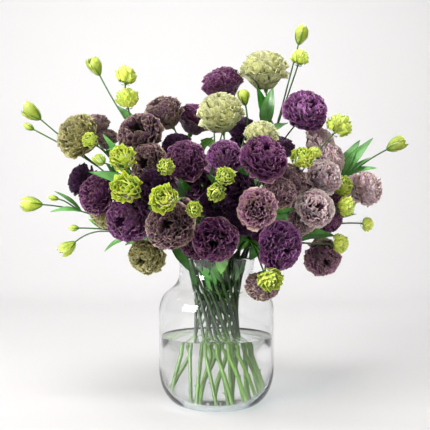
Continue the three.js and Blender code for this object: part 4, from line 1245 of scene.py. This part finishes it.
def addSepals(piece, head, shape, draw):
    # narrow sepals that hug the outermost petals: the same middle line, moved out along its normal. Their
    # points stand a little away from it.
    count, kind = sepals["count"], head["kind"]
    distances, heights, _ = profiles[kind](shape, np.ones(count), draw, loose=0.0)
    reachOut = sepals["reach"][kind] * draw.uniform(0.8, 1.15, (count, 1, 1))
    along = np.linspace(0, 1, sepals["rows"])[None, :, None]
    u = 0.01 + along * reachOut
    across = np.linspace(-1, 1, sepals["columns"])[None, None, :]
    line, step = [], []
    for values, size in ((distances, head["across"]), (heights, head["deep"])):
        line.append(cubic(spread(values), u) * size)
        step.append(cubic(spread(values), u + 0.02) * size - line[-1])
    length = np.hypot(*step)
    away = sepals["away"] + draw.uniform(0.0, 1.0, (count, 1, 1)) * along**3
    r = line[0] + step[1] / length * away
    h = line[1] - step[0] / length * away
    half = sepals["width"][kind] * (head["across"] / 18) ** 0.3 * (1 - along**2.2) + 0.12
    turn = draw.uniform(0, 2 * math.pi) + np.arange(count) * 2 * math.pi / count + draw.normal(0, 0.12, count)
    angle = spread(turn) + across * half / np.maximum(r, 1.5)
    local = np.stack([r * np.cos(angle), r * np.sin(angle), np.broadcast_to(h, angle.shape)], -1)
    place = np.stack(np.broadcast_arrays(u * 3, (across + 1) / 2, 0.3 + 0 * u), -1)
    tint = greens["sepal"] * draw.uniform(0.85, 1.2)
    piece.addSheets(leafMaterial, toWorld(head, local), sepals["thickness"], tint, place)


def leafFace(along, tip):
    # which way its upper face looks: to the sky, and in front of the bunch's rear also to the viewer
    toSky, toViewer = up, np.array([0.0, -0.8, 0.6])
    first, second = (toSky, np.array([0.0, -1.0, 0.2])) if tip[1] > leafBlade["rear"] else (toViewer, toSky)
    return second if abs(np.dot(along, first)) > 0.85 else first


def addLeaf(piece, base, tip, wide, draw, grid=leafBlade["grid"]):
    # point at (t, s): base + along t + side half(t) s + top (fold |x| + droop sin(pi t)),
    # half(t) = wide / 2 sin(pi t^0.85)
    rows, columns = grid
    length = np.linalg.norm(tip - base)
    along = unit(tip - base)
    side = unit(np.cross(along, leafFace(along, tip)))
    top = unit(np.cross(side, along))
    t = np.linspace(0, 1, rows)[:, None]
    s = np.linspace(-1, 1, columns)[None]
    half = wide / 2 * np.sin(math.pi * np.clip(t, 0, 1) ** 0.85) ** 0.9 + 0.25
    x = half * s
    wave = np.sin(t * math.pi * draw.uniform(*leafBlade["ripples"]) + draw.uniform(0, 6))
    edgeWave = wide * leafBlade["ripple"] * wave * s**2 * np.sign(s + 1e-9)
    fold = np.sqrt((x * 2 * leafBlade["fold"]) ** 2 + 0.3) - 0.5
    lift = fold + length * leafBlade["droop"] * np.sin(math.pi * t) + edgeWave
    twist = draw.normal(0, leafBlade["twist"]) * t
    sideways = side * np.cos(twist)[..., None] + top * np.sin(twist)[..., None]
    points = base + along * (length * t)[..., None] + sideways * x[..., None] + top * lift[..., None]
    kind = draw.uniform()
    face = greens["leafLight"]
    if kind < leafBlade["paleFrom"]:
        face = mix(greens["leafDark"], greens["leaf"], smooth(0.25, 0.85, kind))
    rib = np.exp(-((s * 6) ** 2))[..., None] * leafBlade["rib"]
    one = np.ones((rows, columns, 1))
    front = mix(face * mix(0.8, 1.1, t)[..., None], greens["leafBack"], rib * one)
    back = mix(face, greens["leafBack"], 0.55) * one
    place = np.stack(np.broadcast_arrays(t * length / 10, (s + 1) / 2 + 0.1, kind), -1)
    tint = onBothSides(front[None], back[None])
    piece.addSheets(leafMaterial, points[None], leafBlade["thickness"], tint, place[None])


def addSideShoot(piece, spray, draw):
    # a thinner shoot that leaves the stem above the water, runs inside the bundle and comes back to it
    points = spray["stem"]["points"]
    start = int(np.argmin(np.abs(points[: spiral["strandPoints"], 2] - draw.uniform(*sideShoots["from"]))))
    first, last = points[start], points[spiral["strandPoints"] - 1 + sideShoots["above"]]
    inward = -unit(first * [1, 1, 0])
    aside = np.cross(up, inward) * draw.normal(0, sideShoots["aside"])
    pull = inward * draw.uniform(*sideShoots["inward"]) + aside
    third = (last - first) / 3
    t = np.linspace(0, 1, sideShoots["points"])
    line = cubic((first, first + third + pull, last - third + pull * 0.7, last), t[:, None])
    radii = draw.uniform(*sideShoots["radius"]) * mix(1.0, 0.8, t)
    # painted shade: it lies inside the bundle
    tint = mix(greens["stem"], greens["stemShade"], draw.uniform(0.2, 1.0)) * draw.uniform(0.8, 1.1)
    piece.addTube(line, radii, sideShoots["sides"], tint)


def addFillingLeaves(piece, points, draw):
    # smaller leaves in pairs at the forks, which fill the inside of the bunch: the two freest of several
    form = fillingLeaves
    for share in form["shares"]:
        first = nearest(share, points)
        base = points[first]
        tries = draw.normal(0, 1, (form["tries"], 3)) * form["scatter"]
        tries = tries + lineTangent(points, first) * form["onward"]
        reach = draw.uniform(*form["length"], form["tries"])[:, None]
        tips = base + unit(tries + [0, -form["toViewer"], 0]) * reach
        free = [room(base + (tip - base) * np.linspace(0.5, 1, 4)[:, None]) for tip in tips]
        for best in np.argsort(free)[-2:]:
            wide = draw.uniform(*form["width"])
            addLeaf(piece, base, tips[best], wide, draw, leafBlade["smallGrid"])


def addNeckLeaf(piece, points, draw):
    # a long leaf that lies along the stem in the vase's neck
    mouth = spiral["strandPoints"] - 1
    low = mouth - neckLeaves["below"]
    base = mix(points[low], points[low + 1], draw.uniform(0, 1.4))
    onward = unit(points[mouth] - points[low]) - unit(base * [1, 1, 0]) * draw.uniform(0.0, 0.16)
    tip = base + onward * draw.uniform(*neckLeaves["length"])
    addLeaf(piece, base, tip, draw.uniform(*neckLeaves["width"]), draw, leafBlade["smallGrid"])


def makeGreens(spray, order):
    draw = np.random.default_rng([seed, 1000 + order])
    piece = Piece(spray["name"] + "_greens")
    points = spray["stem"]["points"]
    addStem(piece, spray, draw)
    for head in spray["heads"]:
        addStalk(piece, head, draw)
        addSepals(piece, head, shapesOf(head)[-1], draw)
    for on, share, tipSeen, wide in spray["leaves"]:
        line = points if on == "stem" else spray["heads"][on]["stalk"]["points"]
        addLeaf(piece, line[nearest(share, line)], seen(tipSeen), wide, draw)
    addFillingLeaves(piece, points, draw)
    if spray["ring"] == "outer" and draw.uniform() < neckLeaves["share"]:
        addNeckLeaf(piece, points, draw)
    for _ in range(sideShoots["each"]):
        addSideShoot(piece, spray, draw)
    piece.build("stem_green", spray["name"] + "_stem")


def makeHeads(name, members, slot, *nodes):
    piece = Piece(name)
    total = sum(2 * shape["petals"] for head in members for shape in shapesOf(head))
    first = 0
    for head in members:
        draw = np.random.default_rng([seed, head["index"]])
        head["wobble"] = draw.uniform(-1, 1, 6)
        openness = head.get("open", usualOpen.get(head["tone"], 0.0))
        for shape in shapesOf(head):
            addPetals(piece, head, {**shape, "open": openness}, draw, first, total)
            first += 2 * shape["petals"]
    piece.build(slot, *nodes, mapped=True)


for order, spray in enumerate(sprays):
    makeGreens(spray, order)
    green = [head for head in spray["heads"] if head["kind"] != "bloom"]
    if green:
        makeHeads(spray["name"] + "_buds", green, "stem_green", spray["name"] + "_stem")
    groups = []
    for head in spray["heads"]:
        if head.get("joined"):
            next(group for group in groups if head["partner"] in group).append(head)
        elif head["kind"] == "bloom":
            groups.append([head])
    for rank, members in enumerate(groups, 1):
        node = f"{spray['name']}_bloom_{rank}"
        makeHeads(node.replace("_bloom_", "_petals_"), members, "petals_" + members[0]["tone"], node)
print("sprays made:", len(sprays))


# Vase and water: profiles turned round the axis

def curveThrough(*ends, count):
    return cubic([np.array(end, float) for end in ends], np.linspace(0, 1, count)[:, None])


def outerWall():
    # heel, side, shoulder and mouth; each curve keeps the direction of the part that it leaves
    r, b, heel = vase["radius"], vase["baseRadius"], vase["heelHeight"]
    top, neck, neckTop = vase["sideTop"], vase["neckRadius"], vase["neckHeight"]
    mouth, lip = vase["mouthRadius"], vase["lipHeight"]
    low = (b + vase["heelPull"], 0), (r, heel * vase["heelBelly"])
    high = (r, top + vase["shoulderPull"]), (neck + vase["neckOut"], neckTop - vase["neckPull"])
    last = (neck, neckTop + vase["flarePull"]), (neck + vase["flareOut"], lip - vase["lipPull"])
    heelCurve = curveThrough((b, 0), *low, (r, heel), count=28)
    side = np.linspace((r, heel), (r, top), 8)[1:-1]
    shoulder = curveThrough((r, top), *high, (neck, neckTop), count=28)
    flare = curveThrough((neck, neckTop), *last, (mouth, lip), count=10)
    return np.concatenate([heelCurve, side, shoulder, flare[1:]])


def innerWall():
    # the same wall drawn in by its thickness, its heights squeezed to end at the floor
    inner = outerWall()
    inner[:, 0] -= vase["wall"]
    inner[:, 1] = vase["floor"] + inner[:, 1] * (vase["height"] - vase["floor"]) / vase["height"]
    return inner


def makeVase():
    outer, inner = outerWall(), innerWall()
    ring, punt, half = vase["baseRadius"], vase["punt"], vase["wall"] / 2
    hollow = curveThrough(*zip(ring - np.array(vase["puntEdge"]), (punt, punt, 0, 0)), count=8)
    middle = (outer[-1] + inner[-1]) / 2
    t = np.linspace(0, math.pi, 9)[1:-1, None]
    roundTop = half * 0.9 * np.sin(t) + (vase["height"] - middle[1] - half * 0.9)
    rim = middle + np.concatenate([half * np.cos(t), roundTop], 1)
    start = [(0, punt), (ring * 0.5, punt)]
    end = [(ring * 0.5, vase["floor"]), (0, vase["floor"])]
    piece = Piece("vase_glass")
    piece.addTurned(glassMaterial, np.concatenate([start, hollow, outer[:-1], rim, inner[::-1][1:], end]))
    piece.build("glass", "vase")


def makeWater():
    # the inner wall up to the heel, then a meniscus that climbs the glass as exp(-distance / 1.2)
    inner = innerWall()
    inner[:, 0] -= water["clear"]
    inner[:, 1] += water["clear"]
    level, side = water["level"], vase["radius"] - vase["wall"] - water["clear"]
    wet = inner[inner[:, 1] < vase["heelHeight"] + 4]
    climb = np.array([0.0, 0.25, 0.6, 1.1, 1.8, 2.8, 4.2, 6.5, 10.0])
    top = np.stack([side - climb, level - water["meniscus"] * (1 - np.exp(-climb / 1.2))], 1)
    flat = [(side * share, level - water["meniscus"]) for share in (0.75, 0.4, 0)]
    low = [(0, inner[0, 1]), (inner[0, 0] * 0.5, inner[0, 1])]
    piece = Piece("water_clear")
    piece.addTurned(waterMaterial, np.concatenate([low, wet, [(side, level - 20)], top, flat]))
    piece.build("water", "water")


makeVase()
makeWater()
print("vase and water made")


# Stage, lamps and camera, in metres

stage = {
    "wall": (0.79, 0.782, 0.782),
    # the floor is the wall's paper painted darker: painted shade where it lies flat
    "floor": (0.635, 0.622, 0.622),
    "rows": (-2.5, 0.0, 0.6, 1.2),  # of points on the flat part, from the viewer's side
    "far": 1.7,
    "width": 4.0,
    "rise": 2.6,
    "bend": 0.9,
    "blend": 2.2,  # how far behind the vase the floor's colour has turned into the wall's
}
# where each stands, what it faces, its size, power and colour
lamps = {
    "window_left": ((-1.55, -1.45, 1.05), (0, 0, 0.35), (0.5, 0.5), 44, (1, 0.99, 0.975)),
    "soft_top": ((-0.3, -0.9, 2.2), (0, 0.1, 0.3), (1.4, 1.1), 43, (1, 1, 1)),
    "fill_right": ((1.3, -2.0, 0.9), (0, 0, 0.35), (1.4, 1.4), 15, (1, 0.99, 0.99)),
    "back_wash": ((-0.35, 0.6, 2.2), (-0.25, 2.6, 0.2), (5.4, 0.7), 43, (1, 1, 1)),
    "window_glow": ((-1.75, -1.25, 0.85), (0, 0, 0.3), (1.25, 0.95), 90, (1, 1, 1)),
}
roomLight = {"colour": (1.0, 0.985, 0.985), "lit": 0.17, "seen": 0.6}


def makeStage():
    # a sheet that lies flat, then turns up in a quarter circle behind
    far, radius = stage["far"], stage["bend"]
    quarter = np.linspace(0, math.pi / 2, 24)
    curve = np.stack([far + radius * np.sin(quarter), radius * (1 - np.cos(quarter))], 1)
    flat = [(row, 0.0) for row in stage["rows"]]
    line = np.concatenate([flat, curve, [(far + radius, stage["rise"] + radius)]])
    x = np.linspace(-stage["width"], stage["width"], 2)
    points = np.stack(np.broadcast_arrays(x[None], line[:, :1], line[:, 1:]), -1).reshape(-1, 3)
    mesh = bpy.data.meshes.new("paper_sweep")
    mesh.from_pydata(points.tolist(), [], quadGrid(len(line), 2)[:, ::-1].tolist())
    fill(mesh.polygons, "use_smooth", np.ones(len(mesh.polygons)), bool)
    # painted shade: the flat part darker than the part that rises, fading between them
    share = smooth(0.0, stage["blend"], points[:, 1:2])
    addTints(mesh, mix(np.array(stage["floor"]), stage["wall"], share))
    material, nodes, shader, _ = newMaterial("white_paper")
    tint = nodes.attribute("tint", "Color")
    nodes.put(shader, {"Base Color": tint, "Roughness": 0.7, "Specular IOR Level": 0.2})
    mesh.materials.append(material)
    sweep = bpy.data.objects.new("paper_sweep", mesh)
    bpy.context.scene.collection.objects.link(sweep)


def makeLamps():
    for name, (at, to, size, power, tint) in lamps.items():
        data = bpy.data.lights.new(name, "AREA")
        data.shape = "RECTANGLE"
        data.size, data.size_y = size
        data.energy = power
        data.color = tint
        made = bpy.data.objects.new(name, data)
        made.location = at
        made.rotation_mode = "QUATERNION"
        made.rotation_quaternion = Vector(np.subtract(to, at)).to_track_quat("-Z", "Y")
        made.visible_diffuse = name != "window_glow"  # the glow is only seen mirrored in glass and leaves
        made.visible_transmission = False  # no bright shapes through the glass
        made.visible_glossy = name != "fill_right"
        bpy.context.scene.collection.objects.link(made)


def makeWorld():
    # pale walls: bright where they are seen, also through glass, but dim as a light on things
    world = bpy.data.worlds.new("pale_room")
    world.use_nodes = True
    nodes = Nodes(world.node_tree)
    path = nodes.node("LightPath").outputs
    seenWall = nodes.calculated("ADD", path["Is Camera Ray"], path["Is Transmission Ray"])
    strength = nodes.calculated("MULTIPLY_ADD", seenWall, roomLight["seen"], roomLight["lit"])
    nodes.put(nodes.tree.nodes["Background"], {"Color": roomLight["colour"], "Strength": strength})
    bpy.context.scene.world = world
    bpy.context.scene.view_settings.view_transform = "Standard"


def makeCamera():
    # lens = sensor * distance / what the frame's width spans at that distance
    data = bpy.data.cameras.new("camera")
    data.sensor_width = 36
    data.lens = data.sensor_width * view["distance"] / (photoSize * view["millimetresPerPixel"])
    data.shift_x = (photoSize / 2 - view["axisPixel"]) / photoSize
    data.shift_y = (view["horizonPixel"] - photoSize / 2) / photoSize
    camera = bpy.data.objects.new("camera", data)
    camera.location = (0, -view["distance"] * millimetre, view["height"] * millimetre)
    camera.rotation_euler = (math.pi / 2, 0, 0)
    bpy.context.scene.collection.objects.link(camera)
    bpy.context.scene.camera = camera


makeStage()
makeLamps()
makeWorld()
makeCamera()
print("stage, lamps and camera made")
shown = [item for item in bpy.context.scene.objects if item.type == "MESH" and not item.hide_render]
print("faces shown:", sum(len(item.data.polygons) for item in shown))
